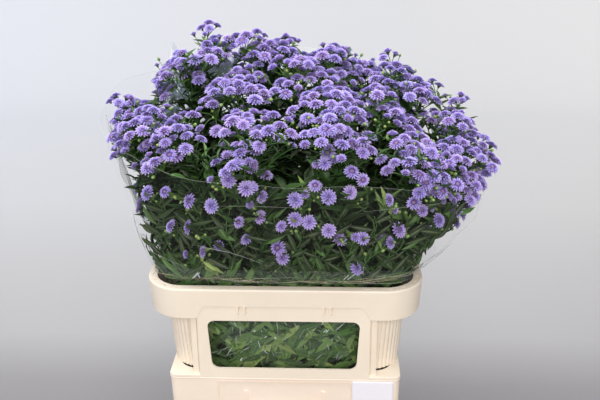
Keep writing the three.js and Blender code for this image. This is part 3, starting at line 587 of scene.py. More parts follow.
# Each level of the sleeve gives a height, the sleeve's middle, its half width
# and half depth, and how square its outline is.
sleeveLevels = [
    (28, 0, 0, 118, 92, 3), (300, 0, 0, 152, 124, 4), (418, 0, 0, 168, 133, 4), (468.3, 0, 0, 186.6, 136.6, 8),
    (484, 2, -2, 205, 148, 5), (560, 28, -2, 266, 188, 2.6), (840, 12, 30, 336, 260, 2.2),
]
sleeveSizes = {
    # its upper edge: height in front, and what each side adds or takes
    "front": 640, "left": 50, "right": 62, "back": 84, "corner": 40, "waves": 9, "waveCount": 9,
    "foot": 300, "around": 340, "up": 120, "inset": 0.4, "hemRadius": 0.25, "flare": 26, "flareWave": 0.5,
    # how deep the film is wrinkled, how close the wrinkles stand, and how far it hangs in
    "wrinkle": 3.2, "crease": 2.6, "fine": 0.9, "wrinkleScale": 4.2, "creaseScale": 9, "fineScale": 20,
    "held": 0.12, "slack": 1.2, "freeSlack": 3.0,
    # where the film comes free of the collar, and where it shows in the windows
    "free": (476, 560), "windowSide": (112, 90), "windowTop": (425, 410), "windowFoot": (318, 335),
}


def levelAt(z):
    k = 1
    while k < len(sleeveLevels) - 1 and sleeveLevels[k][0] < z:
        k += 1
    low, high = sleeveLevels[k - 1], sleeveLevels[k]
    t = (z - low[0]) / (high[0] - low[0])
    return [between(a, b, t) for a, b in zip(low[1:], high[1:])]


def ovalReach(level, angle, inset):
    _, _, a, b, n = level
    c = abs(math.cos(angle)) / (a - inset)
    s = abs(math.sin(angle)) / (b - inset)
    return (c ** n + s ** n) ** (-1 / n)


def ringPoint(level, angle, reach, z):
    return Vector((level[0] + reach * math.cos(angle), level[1] + reach * math.sin(angle), z))


def sleeveTop(angle):
    s = sleeveSizes
    back, left, right = (max(0, side) for side in (math.sin(angle), -math.cos(angle), math.cos(angle)))
    front = s["front"] + s["left"] * left ** 4 - s["right"] * right ** 4
    wave = s["waves"] * math.sin(angle * s["waveCount"]) * (0.15 + back)
    return front + s["back"] * back ** 1.5 + s["corner"] * back * left + wave


# How far the film stands off its even form: broad folds, and sharp creases
# where it was crumpled. It is held flat where the collar grips it.
def filmOffset(angle, z, x):
    s = sleeveSizes
    around = heading(angle)
    fold = noise.noise(around * s["wrinkleScale"] + Vector((0, 0, z * 0.004)))
    slant = z * 0.012 + angle * 1.5
    crumple = abs(noise.noise(around * s["creaseScale"] + Vector((3.1, 7.7, slant))))
    fine = abs(noise.noise(around * s["fineScale"] + Vector((1.3, 2.9, z * 0.03))))
    free = smoothStep(*s["free"], z)
    inWindow = smoothStep(*s["windowSide"], abs(x)) * smoothStep(*s["windowTop"], z) * smoothStep(*s["windowFoot"], z)
    size = s["held"] + (1 - s["held"]) * max(free, 0.8 * inWindow)
    shift = s["wrinkle"] * fold - s["crease"] * (0.5 - crumple) - s["fine"] * (0.4 - fine)
    return size * shift - s["slack"] - s["freeSlack"] * free


def filmPoint(angle, z, topHere):
    s = sleeveSizes
    level = levelAt(z)
    reach = ovalReach(level, angle, s["inset"])
    reach += filmOffset(angle, z, level[0] + reach * math.cos(angle))
    reach += s["flareWave"] * smoothStep(topHere - s["flare"], topHere, z) * math.sin(angle * 23 + 1.5)
    return ringPoint(level, angle, reach, z) * mm


def makeFilmSleeve():
    s = sleeveSizes
    bm = bmesh.new()
    bmesh.ops.create_grid(bm, x_segments=s["around"], y_segments=s["up"], size=0.5)
    rim = []
    for vert in bm.verts:
        angle, share = (vert.co.x + 0.5) * fullTurn, vert.co.y + 0.5
        top = sleeveTop(angle)
        if share > 0.999:
            rim.append((angle, top))
        vert.co = filmPoint(angle, between(s["foot"], top, share), top)
    bmesh.ops.remove_doubles(bm, verts=bm.verts, dist=1e-6)
    faceTowards(bm, heading(0))
    piece = objectFrom(bm, "film_sheet", [films["clearFilm"]], 180)
    return piece, [(filmPoint(angle, top, top), s["hemRadius"] * mm) for angle, top in sorted(rim)]


# Tubes through points that each carry a radius.
def tubes(name, runs, closed=False):
    curve = bpy.data.curves.new(name, "CURVE")
    curve.dimensions = "3D"
    curve.bevel_depth = 1.0
    curve.bevel_resolution = 1
    curve.use_fill_caps = True
    for points in runs:
        spline = curve.splines.new("POLY")
        spline.points.add(len(points) - 1)
        for point, (place, radius) in zip(spline.points, points):
            point.co = (*place, 1)
            point.radius = radius
        spline.use_cyclic_u = closed
    holder = linkObject(name, curve)
    mesh = finishedMesh(holder)
    mesh.name = name
    bpy.data.objects.remove(holder)
    bpy.data.curves.remove(curve)
    mesh.shade_smooth()
    return mesh


# Adds tubes to a bmesh and gives the new points back.
def addTubes(bm, runs, materialIndex=0):
    first = len(bm.verts)
    mesh = tubes("runs", runs)
    for polygon in mesh.polygons:
        polygon.material_index = materialIndex
    bm.from_mesh(mesh)
    bpy.data.meshes.remove(mesh)
    bm.verts.ensure_lookup_table()
    return bm.verts[first:]


# Sharp folds of the film: each one's radius in millimetres, then its places in degrees round the sleeve and heights.
# They show as pale lines, a painted highlight.
foldPlan = [
    (0.55, (-129.8, 545.5), (-117.9, 536.3), (-103.3, 515.2)),
    (0.4, (-158.6, 525.6), (-146.0, 521.0), (-133.0, 505.0)),
    (0.5, (-123.8, 487.0), (-113.8, 478.0), (-104.3, 486.2), (-82.4, 489.5)),
    (0.45, (-118.0, 479.0), (-98.0, 475.0), (-78.0, 480.0), (-62.0, 474.0)),
    (0.5, (-70.0, 486.0), (-57.0, 478.0), (-40.2, 474.5), (-28.0, 480.0)),
    (0.4, (-52.0, 494.0), (-38.0, 486.0), (-26.0, 490.0)),
    (0.3, (-119.3, 609.3), (-107.3, 610.7), (-89.2, 610.5)),
    (0.3, (-66.0, 604.0), (-48.0, 606.0), (-36.0, 602.0)),
    (0.45, (-22.0, 590.0), (-19.1, 525.3), (-25.0, 490.0)),
    (0.35, (-33.0, 560.0), (-30.0, 520.0), (-38.0, 484.0)),
    (0.4, (-96.0, 560.0), (-93.0, 520.0), (-99.0, 486.0)),
]
# Short creases behind the windows, painted white as glints: their number, spread in degrees, lowest start and rise.
windowGlintCreases = {"count": 64, "spread": 96, "low": 336, "rise": 76, "lean": 11}
# Painted glints, white tubes where the film turns the corner: degrees, heights, count and half thickness.
shinePlan = [(-170, -157, 500, 556, 9, 1.0), (-30, -22, 480, 512, 6, 0.9), (-132, -128, 487, 491, 3, 1.8),
             (-61, -59, 489, 492, 2, 1.2)]
# Crumpled places along the collar's lip, their folds given a painted beige sheen: degrees, heights, count, reach in
# degrees and rise.
crumplePlan = [(-160, -116, 472, 484, 7, 26, 9), (-128, -100, 474, 488, 4, 18, -6),
               (-92, -52, 472, 484, 8, 26, 10), (-62, -44, 475, 488, 4, 20, 18)]
# Where the sleeve is gathered in a second layer: heights, degrees, and how deep it crumples.
gatherPlan = [(326, 416, -150, -30, 7.0), (326, 416, 30, 150, 7.0), (470, 500, -165, -15, 6.0)]
flapCorners = [(-200, 24, 640), (-116, 16, 640), (-176, 70, 776), (-84, 60, 742)]
seamSizes = {"degrees": (181, -4), "width": 14.0, "low": 474, "streaks": 11, "steps": 40, "short": 12,
             "taper": 0.72, "streakRadius": 0.9}
edgeFilms = ("filmEdge", "gatheredFilm", "weldedFilm", "standingFilm", "creasedFilm", "crumpledFilm")
fifths = (0, 0.2, 0.4, 0.6, 0.8, 1)


def onFilm(degrees, z, out=0.5):
    angle = math.radians(degrees)
    return filmPoint(angle, z, sleeveTop(angle)) + heading(angle) * (out * mm)


# A fold's thickness along its length, 0 to 1: full in the middle, thin at both ends.
def swell(t, margin):
    return math.sin(math.pi * (margin + (1 - 2 * margin) * t))


# The folds that stand where the photo shows them.
def plannedFolds():
    runs = []
    for radius, *corners in foldPlan:
        points = []
        for (d0, z0), (d1, z1) in zip(corners, corners[1:]):
            points += [(d0 + (d1 - d0) * i / 8, z0 + (z1 - z0) * i / 8) for i in range(8)]
        points.append(corners[-1])
        last = len(points) - 1
        runs.append([(onFilm(d + 0.25 * math.sin(i * 1.9), z),
                      radius * (0.35 + 0.65 * math.sin(math.pi * i / last)) * mm)
                     for i, (d, z) in enumerate(points)])
    return runs


# Short creases behind the windows' rims and broad glints at the film's corners, all painted white as glints.
def scatteredGlints(draw):
    w = windowGlintCreases
    glints = []
    for k in range(w["count"]):
        d, z = (-90 if k % 4 else 90) + w["spread"] * (draw() - 0.5), w["low"] + w["rise"] * draw()
        lean, reach = w["lean"] * (draw() - 0.5), 4 + 14 * draw()
        thick = 0.25 + 0.55 * draw() ** 2
        glints.append([(onFilm(d + lean * t, z + reach * t), thick * swell(t, 0.1) * mm) for t in (0, 0.3, 0.6, 1)])
    for first, last, low, high, count, thick in shinePlan:
        for _ in range(count):
            d, z = between(first, last, draw()), between(low, high, draw())
            lean, reach = 5 * (draw() - 0.3), 10 + 2.2 * (high - low) * draw() / count ** 0.5
            glints.append([(onFilm(d + lean * t, z + reach * (t - 0.5)),
                            thick * (0.7 + 0.3 * math.sin(t * 9)) * swell(t, 0.05) * mm) for t in fifths])
    return glints


# Broad folds where the film is crumpled along the collar's lip, with a painted beige sheen.
def crumpledFolds(draw):
    folds = []
    for first, last, low, high, count, across, rise in crumplePlan:
        for _ in range(count):
            d, z = between(first, last, draw()), between(low, high, draw())
            lean, reach = across * (0.4 + 0.6 * draw()), rise * (0.3 + 0.7 * draw())
            thick = 0.4 + 1.5 * draw() ** 2
            wave = 5 * (draw() - 0.5)
            folds.append([(onFilm(d + lean * t, z + reach * t + wave * math.sin(t * 6), -thick),
                           thick * swell(t, 0.04) * (0.7 + 0.3 * math.sin(t * 19 + wave)) * mm)
                          for t in (i / 12 for i in range(13))])
    return folds


def gridPatch(bm, across, up, film):
    verts = bmesh.ops.create_grid(bm, x_segments=across, y_segments=up, size=0.5)["verts"]
    for face in {face for vert in verts for face in vert.link_faces}:
        face.material_index = edgeFilms.index(film)
    return [(vert, vert.co.x + 0.5, vert.co.y + 0.5) for vert in verts]


# A welded seam that stands out as a flat strip at one side, with streaks down it
# that go to the folds and the glints in turn.
def addSeam(bm, degrees, draw, groups):
    s = seamSizes
    low, top = s["low"], sleeveTop(math.radians(degrees)) - s["short"]
    for vert, across, up in gridPatch(bm, 3, s["steps"], "weldedFilm"):
        z = between(low, top, up)
        width = (s["width"] * smoothStep(0, 0.12, up) * (1 - s["taper"] * smoothStep(0.4, 1, up))
                 * (0.85 + 0.15 * math.sin(z * 0.11)))
        sway = 1.5 * math.sin(z * 0.05 + across * 2)
        vert.co = onFilm(degrees + sway * across * 0.5, z, width * across)
    for k in range(s["streaks"]):
        start = low + 8 + (top - low) * 0.75 * draw()
        end = min(top - 4, start + 30 + 60 * draw())
        out = s["width"] * (0.1 + 0.75 * draw())
        drift = 4 * (draw() - 0.5)
        groups[k % 2].append([(onFilm(degrees + drift * t, between(start, end, t), out * (1 - 0.7 * t)),
                               s["streakRadius"] * swell(t, 0.08) * mm) for t in fifths])


# A flap of the sleeve that stands up before the tips at the back left, and its hem.
def addFlap(bm):
    low0, low1, high0, high1 = (Vector(corner) for corner in flapCorners)
    for vert, across, up in gridPatch(bm, 24, 30, "standingFilm"):
        place = low0.lerp(low1, across).lerp(high0.lerp(high1, across), up * (1 - 0.12 * math.sin(across * 5)))
        place.y += 9 * noise.noise(Vector((across * 3, up * 1.5, 4.2))) + 4 * math.sin(across * 9 + up * 2)
        vert.co = place * mm
    return [((low0.lerp(high0, t) + Vector((3 * math.sin(t * 5), 0, 0))) * mm, 0.7 * t ** 2 * mm)
            for t in (0.1, 0.3, 0.5, 0.7, 0.85, 1)]


def addGathers(bm):
    for low, high, first, last, depth in gatherPlan:
        for vert, across, up in gridPatch(bm, 90, 26, "gatheredFilm"):
            degrees, z = between(first, last, across), between(low, high, up)
            ridge = (abs(noise.noise(Vector((degrees * 0.09, z * 0.035, low))))
                     + 0.5 * abs(noise.noise(Vector((degrees * 0.3, z * 0.08, 7)))))
            vert.co = onFilm(degrees, z, -0.6 - depth * ridge)


# The hem, with all that is welded, folded and gathered on the sleeve.
def makeFilmEdge(hem):
    draw = random.Random(31).random
    folds, glints, lipFolds = plannedFolds(), scatteredGlints(draw), crumpledFolds(draw)
    bm = bmesh.new()
    for degrees in seamSizes["degrees"]:
        addSeam(bm, degrees, draw, (folds, glints))
    folds.append(addFlap(bm))
    addGathers(bm)
    bmesh.ops.recalc_face_normals(bm, faces=bm.faces)
    for face in bm.faces:
        face.smooth = face.material_index != edgeFilms.index("gatheredFilm")
    for group, film in ((folds, "filmEdge"), (glints, "creasedFilm"), (lipFolds, "crumpledFilm")):
        addTubes(bm, group, edgeFilms.index(film))
    hemMesh = tubes("hem", [hem], closed=True)
    bm.from_mesh(hemMesh)
    bpy.data.meshes.remove(hemMesh)
    return objectFrom(bm, "film_edge", [films[name] for name in edgeFilms])


filmPiece, filmHem = makeFilmSleeve()
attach(filmPiece, "root")
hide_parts("film_sleeve")
edgePiece = makeFilmEdge(filmHem)
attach(edgePiece, "root")
print("film made")

# Each tier of rays: how many, then root, widest part and tip as distance from the
# axis and height, then half the widest width, for a head whose radius is 1.
headTiers = {
    "domed": [
        (15, (0.16, -0.10), (0.66, 0.00), (1.00, -0.08), 0.18),
        (14, (0.14, -0.02), (0.58, 0.13), (0.90, 0.11), 0.17),
        (11, (0.10, 0.06), (0.44, 0.24), (0.70, 0.27), 0.15),
        (8, (0.07, 0.14), (0.27, 0.32), (0.43, 0.38), 0.13),
        (4, (0.02, 0.20), (0.10, 0.36), (0.15, 0.45), 0.08),
    ],
    "open": [
        (16, (0.18, -0.08), (0.66, -0.05), (1.00, -0.16), 0.14),
        (15, (0.18, 0.00), (0.60, 0.08), (0.92, 0.03), 0.13),
        (12, (0.20, 0.08), (0.48, 0.18), (0.72, 0.20), 0.12),
    ],
    "young": [
        (13, (0.18, -0.10), (0.50, 0.14), (0.76, 0.22), 0.13),
        (11, (0.12, 0.00), (0.40, 0.28), (0.58, 0.40), 0.12),
        (8, (0.08, 0.12), (0.24, 0.40), (0.34, 0.52), 0.10),
        (4, (0.03, 0.22), (0.10, 0.46), (0.12, 0.58), 0.07),
    ],
}
headSizes = {"jitter": 0.09, "cupRadius": 0.34, "cupDepth": 0.46, "stalk": 0.10, "crown": 0.03,
             "discFoot": 0.24, "discTop": 0.1, "discDepth": 0.1, "discHeight": 0.1, "openDiscHeight": 0.16}
budSizes = {"stretch": 1.25, "lift": 0.9, "taper": 0.25, "tone": 0.74, "toneRise": 0.18}
leafShapes = {
    # half width at points along the blade, its fold along the midrib, and how it arches
    "lance": {"widths": (0.05, 0.55, 0.95, 1.0, 0.78, 0.42, 0.03), "fold": 0.22, "arch": 0.22},
    "narrow": {"widths": (0.10, 0.62, 0.9, 0.88, 0.66, 0.36, 0.03), "fold": 0.30, "arch": 0.12},
}


# A mesh for parts of the plant. "tone" is a point's place on its colour ramp, and
# "mood" how far it turns to the material's second colour.
def plantMesh():
    bm = bmesh.new()
    return bm, bm.verts.layers.float.new("tone"), bm.verts.layers.float.new("mood")


# One head as a mesh of kite-shaped rays, with its disc and its green cup.
def makeHead(name, seed):
    s = headSizes
    draw = random.Random(seed).random
    bm, tone, _ = plantMesh()
    for count, root, wide, tip, half in headTiers[name]:
        for i in range(count):
            kite = bmesh.ops.create_circle(bm, cap_ends=True, segments=4, radius=1.0)["verts"]
            stretch = 1 + s["jitter"] * (draw() - 0.6)
            lift = s["jitter"] * (draw() - 0.5)
            spread = (i + 0.35 * (draw() - 0.5)) / count * fullTurn
            broad = (wide[0] * stretch, wide[1] + lift + s["crown"])
            places = ((root[0], 0, root[1], 0.0), (broad[0], half, broad[1], 0.6),
                      (tip[0] * stretch, 0, tip[1] + lift, 1.0), (broad[0], -half, broad[1], 0.6))
            for vert, (*place, shadeHere) in zip(kite, places):
                vert.co = place
                vert[tone] = shadeHere * (0.88 + 0.12 * draw())
            bmesh.ops.rotate(bm, verts=kite, cent=(0, 0, 0), matrix=Matrix.Rotation(spread, 3, "Z"))
    rayFaces = set(bm.faces)
    height = s["openDiscHeight"] if name == "open" else s["discHeight"]
    top = height + s["discDepth"] / 2
    bmesh.ops.create_cone(bm, cap_ends=False, segments=8, radius1=s["discFoot"], radius2=s["discTop"],
                          depth=s["discDepth"], matrix=Matrix.Translation((0, 0, height)))
    bmesh.ops.holes_fill(bm, edges=[edge for edge in bm.edges if edge.is_boundary and all(
        abs(v.co.z - top) < 1e-4 and math.hypot(v.co.x, v.co.y) < s["discTop"] + 0.01 for v in edge.verts)])
    discFaces = set(bm.faces) - rayFaces
    cup = bmesh.ops.create_cone(bm, cap_ends=False, segments=7, radius1=s["stalk"], radius2=s["cupRadius"],
                                depth=s["cupDepth"], matrix=Matrix.Translation((0, 0, -0.06 - s["cupDepth"] / 2)))
    for vert in cup["verts"]:
        vert[tone] = 0.55 if vert.co.z > -0.2 else 0.4
    for face in bm.faces:
        face.material_index = 0 if face in rayFaces else (1 if face in discFaces else 2)
        face.smooth = face.material_index != 0
    return meshFrom(bm, name)


def makeBud():
    s = budSizes
    bm, tone, _ = plantMesh()
    bmesh.ops.create_uvsphere(bm, u_segments=6, v_segments=5, radius=1.0)
    for vert in bm.verts:
        height = vert.co.z
        narrow = 1 - s["taper"] * max(0, height)
        vert.co = (vert.co.x * narrow, vert.co.y * narrow, height * s["stretch"] + s["lift"])
        vert[tone] = s["tone"] + s["toneRise"] * height
    for face in bm.faces:
        face.material_index = 2
        face.smooth = True
    return meshFrom(bm, "bud")


# A blade one long and one wide to each side, along +Y, its upper face towards +Z.
def makeLeaf(name):
    s = leafShapes[name]
    bm, tone, _ = plantMesh()
    uv = bm.loops.layers.uv.new("leafGrid")
    bmesh.ops.create_grid(bm, x_segments=2, y_segments=6, size=0.5)
    grid = {vert: (vert.co.x + 0.5, vert.co.y + 0.5) for vert in bm.verts}
    for face in bm.faces:
        face.smooth = True
        for loop in face.loops:
            loop[uv].uv = grid[loop.vert]
    for vert, (across, along) in grid.items():
        width = s["widths"][round(along * 6)]
        side = (across - 0.5) * 2
        vert.co = (side * width, along, s["fold"] * abs(side) * width * 0.5 - s["arch"] * along * along)
        vert[tone] = 0.06 * abs(side)
    faceTowards(bm, skyward)
    return meshFrom(bm, name)


headMeshes = {name: [makeHead(name, 40 + k) for k in range(2)] for name in headTiers}
budMesh = makeBud()
leafMeshes = {name: makeLeaf(name) for name in leafShapes}


# Copies a small mesh into a piece, placed by a matrix, with its tone shifted.
def stamp(bm, template, matrix, toneShift, mood):
    first = len(bm.verts)
    bm.from_mesh(template)
    bm.verts.ensure_lookup_table()
    toneLayer, moodLayer = bm.verts.layers.float["tone"], bm.verts.layers.float["mood"]
    for i in range(first, len(bm.verts)):
        vert = bm.verts[i]
        vert.co = matrix @ vert.co
        vert[toneLayer] = min(1.0, max(0.0, vert[toneLayer] + toneShift))
        vert[moodLayer] = mood


def headMatrix(place, axis, radius, turn):
    look = axis.to_track_quat("Z", "Y").to_matrix().to_4x4()
    return Matrix.Translation(place) @ look @ Matrix.Rotation(turn, 4, "Z") @ Matrix.Scale(radius, 4)


def leafMatrix(root, way, up, length, halfWidth):
    along = way.normalized()
    side = along.cross(up)
    side = side.normalized() if side.length > 1e-4 else along.orthogonal().normalized()
    turn = Matrix((side, along, side.cross(along))).transposed().to_4x4()
    return Matrix.Translation(root) @ turn @ Matrix.Diagonal((halfWidth, length, length, 1))


# The frame's heads: radius of the big and the small ones, where a head's upper
# tips stand and how high its crown is as shares of that, and how closely a face
# has to fit.
headReading = {"big": 20.0, "small": 13.0, "tipReach": 0.8, "tipDrop": 0.16, "crown": 0.5,
               "tolerance": 0.25, "merge": 2.0}


def nodePoints(nodeName):
    mesh = bpy.data.objects[nodeName].data
    places = np.empty(len(mesh.vertices) * 3)
    mesh.vertices.foreach_get("co", places)
    return mesh, places.reshape(-1, 3) * 1000


# A head of the frame has five upper tips. The three-cornered faces between its
# crown and two neighbouring tips give its middle and its axis.
def readHeads(nodeName, radius):
    s = headReading
    mesh, places = nodePoints(nodeName)
    rise = s["tipDrop"] * radius
    leg = math.hypot(s["tipReach"] * radius, rise)
    base = 2 * s["tipReach"] * radius * math.sin(math.radians(36))
    found = []
    for polygon in mesh.polygons:
        corners = [Vector(places[i]) for i in polygon.vertices]
        for apex, one, two in (corners, corners[1:] + corners[:1], corners[2:] + corners[:2]):
            a, b = one - apex, two - apex
            if max(abs(a.length - leg), abs(b.length - leg), abs((a - b).length - base)) < s["tolerance"]:
                across = (a + b) * (-rise / (a.length_squared + a.dot(b)))
                outward = a.cross(b).normalized()
                axis = across + outward * math.sqrt(max(0.0, 1 - across.length_squared))
                centre = apex - axis.normalized() * radius * s["crown"]
                if all((centre - c).length > s["merge"] for c, _ in found):
                    found.append((centre, axis.normalized()))
    return found


# Where a stem stands on the bucket's floor, as a share of the sleeve's size there.
def stemOf(nodeName):
    places = nodePoints(nodeName)[1]
    low = places[places[:, 2] < places[:, 2].min() + 3]
    middle = (low.min(axis=0) + low.max(axis=0)) / 2
    level = levelAt(28)
    return middle[0] / level[2], middle[1] / level[3]


# The plant may spread past the sleeve's form from a little above the film's edge on.
spreading = {"from": 8, "slope": 0.8, "highest": sleeveLevels[-1][0] - 1}


# Pulls a point inside the film, or near it above the film's edge.
def keptInside(point, inset, spill):
    s = spreading
    level = levelAt(min(point.z, s["highest"]))
    dx, dy = point.x - level[0], point.y - level[1]
    angle, away = math.atan2(dy, dx), math.hypot(dx, dy)
    above = point.z - sleeveTop(angle)
    room = inset if above < s["from"] else max(-spill, inset - (above - s["from"]) * s["slope"])
    reach = ovalReach(level, angle, room)
    if away > reach:
        return Vector((level[0] + dx * reach / away, level[1] + dy * reach / away, point.z))
    return point


# Points along a curve that leaves its start in one direction and bends to its end.
def bend(start, end, startWay, steps):
    control = start + startWay.normalized() * (end - start).length * 0.5
    shares = [i / steps for i in range(steps + 1)]
    return [start * (1 - t) ** 2 + control * (2 * t * (1 - t)) + end * t * t for t in shares]


def tapered(points, first, last):
    top = len(points) - 1
    return [(point * mm, (first + (last - first) * i / top) * mm) for i, point in enumerate(points)]


sprayPlan = {
    "stemHeights": (30, 120, 210, 300, 384, 466, 513, 560), "stemFoot": 3.4, "stemTop": 2.0,
    "leafStep": 13, "lowLeaf": (58, 80), "highLeaf": (26, 42), "leafSlim": {"lance": 1.15, "narrow": 0.75},
    "slim": 0.15, "inset": 6.0, "sideShoots": 5, "fillShoots": 21, "outerFrom": 0.7, "crownDepth": 40,
    # how often a head is domed, open or young, in clusters, alone and on side branches
    "clusterKinds": (0.66, 0.16, 0.18), "singleKinds": (0.6, 0.22, 0.18), "sprigKinds": (0.6, 0.2, 0.2),
    # clusters: how far a hub hangs under its heads, the ring the heads stand in, and how ragged the crown is
    "hubDrop": 24, "headRadius": (9.4, 12.6), "ring": (14.5, 21.0), "clusterHeads": 6, "ragged": 28,
    # side branches behind the film: the share that grows in each row, and how the rows stand
    "sprigShare": (0.3, 0.4, 0.5, 0.65, 0.8, 0.85), "sprigLow": 492, "sprigRise": 27, "sprigStep": 0.23,
}
liftLimit = cadBox[1][2] * 1000 - 1
headKinds = ("domed", "open", "young")


# One spray with what grows on it: stalks, leaves, heads and buds, in millimetres.
class Spray:
    def __init__(self, number):
        self.tag = f"spray_{number:02d}"
        self.chance = random.Random(7000 + number)
        self.draw = self.chance.random
        self.u, self.v = stemOf(f"{self.tag}_stem_and_leaves")
        self.outer = math.hypot(self.u, self.v) > sprayPlan["outerFrom"]
        self.angle = math.atan2(self.v, self.u)
        self.big = readHeads(f"{self.tag}_flowers", headReading["big"])
        self.small = readHeads(f"{self.tag}_stem_and_leaves", headReading["small"])
        self.top = max(centre.z for centre, _ in self.big) - sprayPlan["crownDepth"]
        self.runs, self.leaves, self.heads, self.buds = [], [], [], []

    def spot(self, z):
        x, y, a, b, _ = levelAt(z)
        return Vector((x + a * self.u, y + b * self.v, z))

    def aside(self):
        return heading(self.draw() * fullTurn)

    def addStalk(self, start, end, way, steps, thick, thin):
        path = bend(start, end, way, steps)
        self.runs.append(tapered(path, thick, thin))
        return path

    def addLeaf(self, root, way, length, tone, shape="narrow"):
        up = skyward + self.aside() * 0.35
        slim = sprayPlan["slim"] * sprayPlan["leafSlim"][shape] * (0.9 + 0.25 * self.draw())
        self.leaves.append((root, way, up, length, length * slim, tone + 0.12 * (self.draw() - 0.5),
                            0.5 * self.draw(), shape))

    def addHead(self, place, axis, radius, kind):
        self.heads.append((place, axis, radius, kind))
        return place - axis * radius * 0.5

    # buds on short stalks near the end of a shoot
    def addBuds(self, path, count):
        for _ in range(count):
            tip = path[3] + (path[4] - path[2]).normalized() * (6 + 10 * self.draw())
            tip += self.aside() * (8 + 8 * self.draw()) + skyward * 4
            self.buds.append((tip, (tip - path[3]).normalized(), 1.8 + 1.2 * self.draw()))
            self.addStalk(path[3], tip, skyward, 2, 0.6, 0.45)


# A flat-topped cluster of heads on stalks that part from one hub, with buds
# and small leaves among them.
def addCluster(spray, centre, axis):
    draw, choice, plan = spray.draw, spray.chance.choice, sprayPlan
    centre = centre + skyward * (plan["ragged"] * (draw() - 0.82))
    side = axis.orthogonal().normalized()
    other = axis.cross(side)
    hub = centre - axis * plan["hubDrop"] - skyward * 6
    count = plan["clusterHeads"] - (1 if draw() < 0.4 else 0)
    start = draw() * fullTurn
    outward = 0.35 + 0.45 * draw()
    # angle round the axis, distance from it and rise: one in the middle, a ring, and one or two lower
    spots = [(0.0, 0.0, 2.0)]
    for i in range(count - 1):
        angle = start + (i + 0.3 * (draw() - 0.5)) / (count - 1) * fullTurn
        spots.append((angle, between(*plan["ring"], draw()), -7 + 7 * draw()))
    for _ in range(1 + (draw() < 0.5)):
        spots.append((draw() * fullTurn, 22 + 10 * draw(), -16 - 20 * draw()))
    for angle, reach, rise in spots:
        offset = side * (reach * math.cos(angle)) + other * (reach * math.sin(angle))
        if reach == 0:
            offset = side * (4 * (draw() - 0.5)) + other * (4 * (draw() - 0.5))
        radius = between(*plan["headRadius"], draw())
        tilt = (axis * outward + skyward * 0.75 + offset / 48 + spray.aside() * 0.2).normalized()
        kind = spray.chance.choices(headKinds, plan["clusterKinds"])[0]
        foot = spray.addHead(centre + offset + axis * rise, tilt, radius * (0.9 if kind == "young" else 1), kind)
        spray.addStalk(hub, foot, skyward + offset / 30, 3, 0.8, 0.65)
    for _ in range(choice((1, 2, 3, 4))):
        away = spray.aside()
        reach = 15 + 13 * draw()
        tip = centre + side * (away.x * reach) + other * (away.y * reach) - axis * (3 + 14 * draw())
        spray.buds.append((tip, (axis + (tip - centre) / 26).normalized(), 1.8 + 1.1 * draw()))
        spray.addStalk(hub, tip, axis, 2, 0.6, 0.5)
    for _ in range(4):
        away = spray.aside()
        way = side * away.x + other * away.y + axis * (0.4 + 0.6 * draw())
        spray.addLeaf(hub + axis * (2 + 8 * draw()), way, 13 + 11 * draw(), 0.5)
    root = spray.spot(max(420, min(spray.top - 6, hub.z - 34 - 44 * draw())))
    path = spray.addStalk(root, hub, skyward + (hub - root).normalized() * 0.4, 6, 1.3, 0.95)
    for i in (2, 3, 4, 5):
        way = (path[i] - root).normalized() * 0.5 + spray.aside() + skyward * 0.35
        spray.addLeaf(path[i], way, 20 + 16 * draw(), 0.34)


# A single head on a leafy stalk with a few buds.
def addSingle(spray, centre, axis):
    draw = spray.draw
    radius = 9.8 + 2.4 * draw()
    kind = spray.chance.choices(headKinds, sprayPlan["singleKinds"])[0]
    foot = spray.addHead(centre, axis, radius, kind)
    start = spray.spot(centre.z - 45 - 20 * draw())
    path = spray.addStalk(start, foot, skyward + (foot - start).normalized() * 0.7, 5, 1.1, 0.7)
    for i in (2, 3, 4):
        way = (path[i] - start).normalized() * 0.6 + spray.aside() * 0.9 + skyward * 0.3
        spray.addLeaf(path[i], way, 18 + 16 * draw(), 0.4)
    spray.addBuds(path, spray.chance.choice((1, 2, 3)))


# A thin side branch that ends close behind the film in one to three heads.
def addSprig(spray, angle, z, depth, count=0):
    draw, chance = spray.draw, spray.chance
    level = levelAt(z)
    reach = ovalReach(level, angle, depth)
    away = heading(angle)
    beside = Vector((-away.y, away.x, 0))
    tip = Vector((level[0] + reach * away.x, level[1] + reach * away.y, z))
    lean = (draw() - 0.5) * 50
    root = tip - away * (24 + 16 * draw()) + beside * lean - skyward * (36 + 26 * draw())
    path = spray.addStalk(root, tip - away * 5 - skyward * 8, skyward + away * 0.3, 6, 1.0, 0.75)
    spray.addStalk(spray.spot(max(330, root.z - 40 - 20 * draw())), root, skyward, 4, 1.2, 1.0)
    count = count or chance.choices((1, 2, 3), (0.45, 0.35, 0.2))[0]
    spread = 0 if count == 1 else 11.5
    turn = draw() * fullTurn
    for _ in range(count):
        turn += fullTurn / count
        place = tip + beside * (spread * math.cos(turn)) + skyward * (spread * math.sin(turn)) - away * (3 * draw())
        tilt = (away * (0.55 + 0.5 * draw()) + skyward * (0.25 + 0.5 * draw())
                + beside * (0.9 * (draw() - 0.5))).normalized()
        kind = chance.choices(headKinds, sprayPlan["sprigKinds"])[0]
        foot = spray.addHead(place, tilt, (9.4 + 3.2 * draw()) * (0.8 if kind == "young" else 1), kind)
        spray.addStalk(path[4], foot, (path[5] - path[4]).normalized(), 3, 0.75, 0.6)
    spray.addBuds(path, chance.choice((2, 3, 4)))
    for i in range(1, 6):
        way = (path[i] - path[i - 1]).normalized() * 0.6 + spray.aside() * 0.8 + skyward * (0.4 + 0.5 * draw())
        spray.addLeaf(path[i], way, 22 + 22 * draw(), 0.4 + 0.16 * draw())


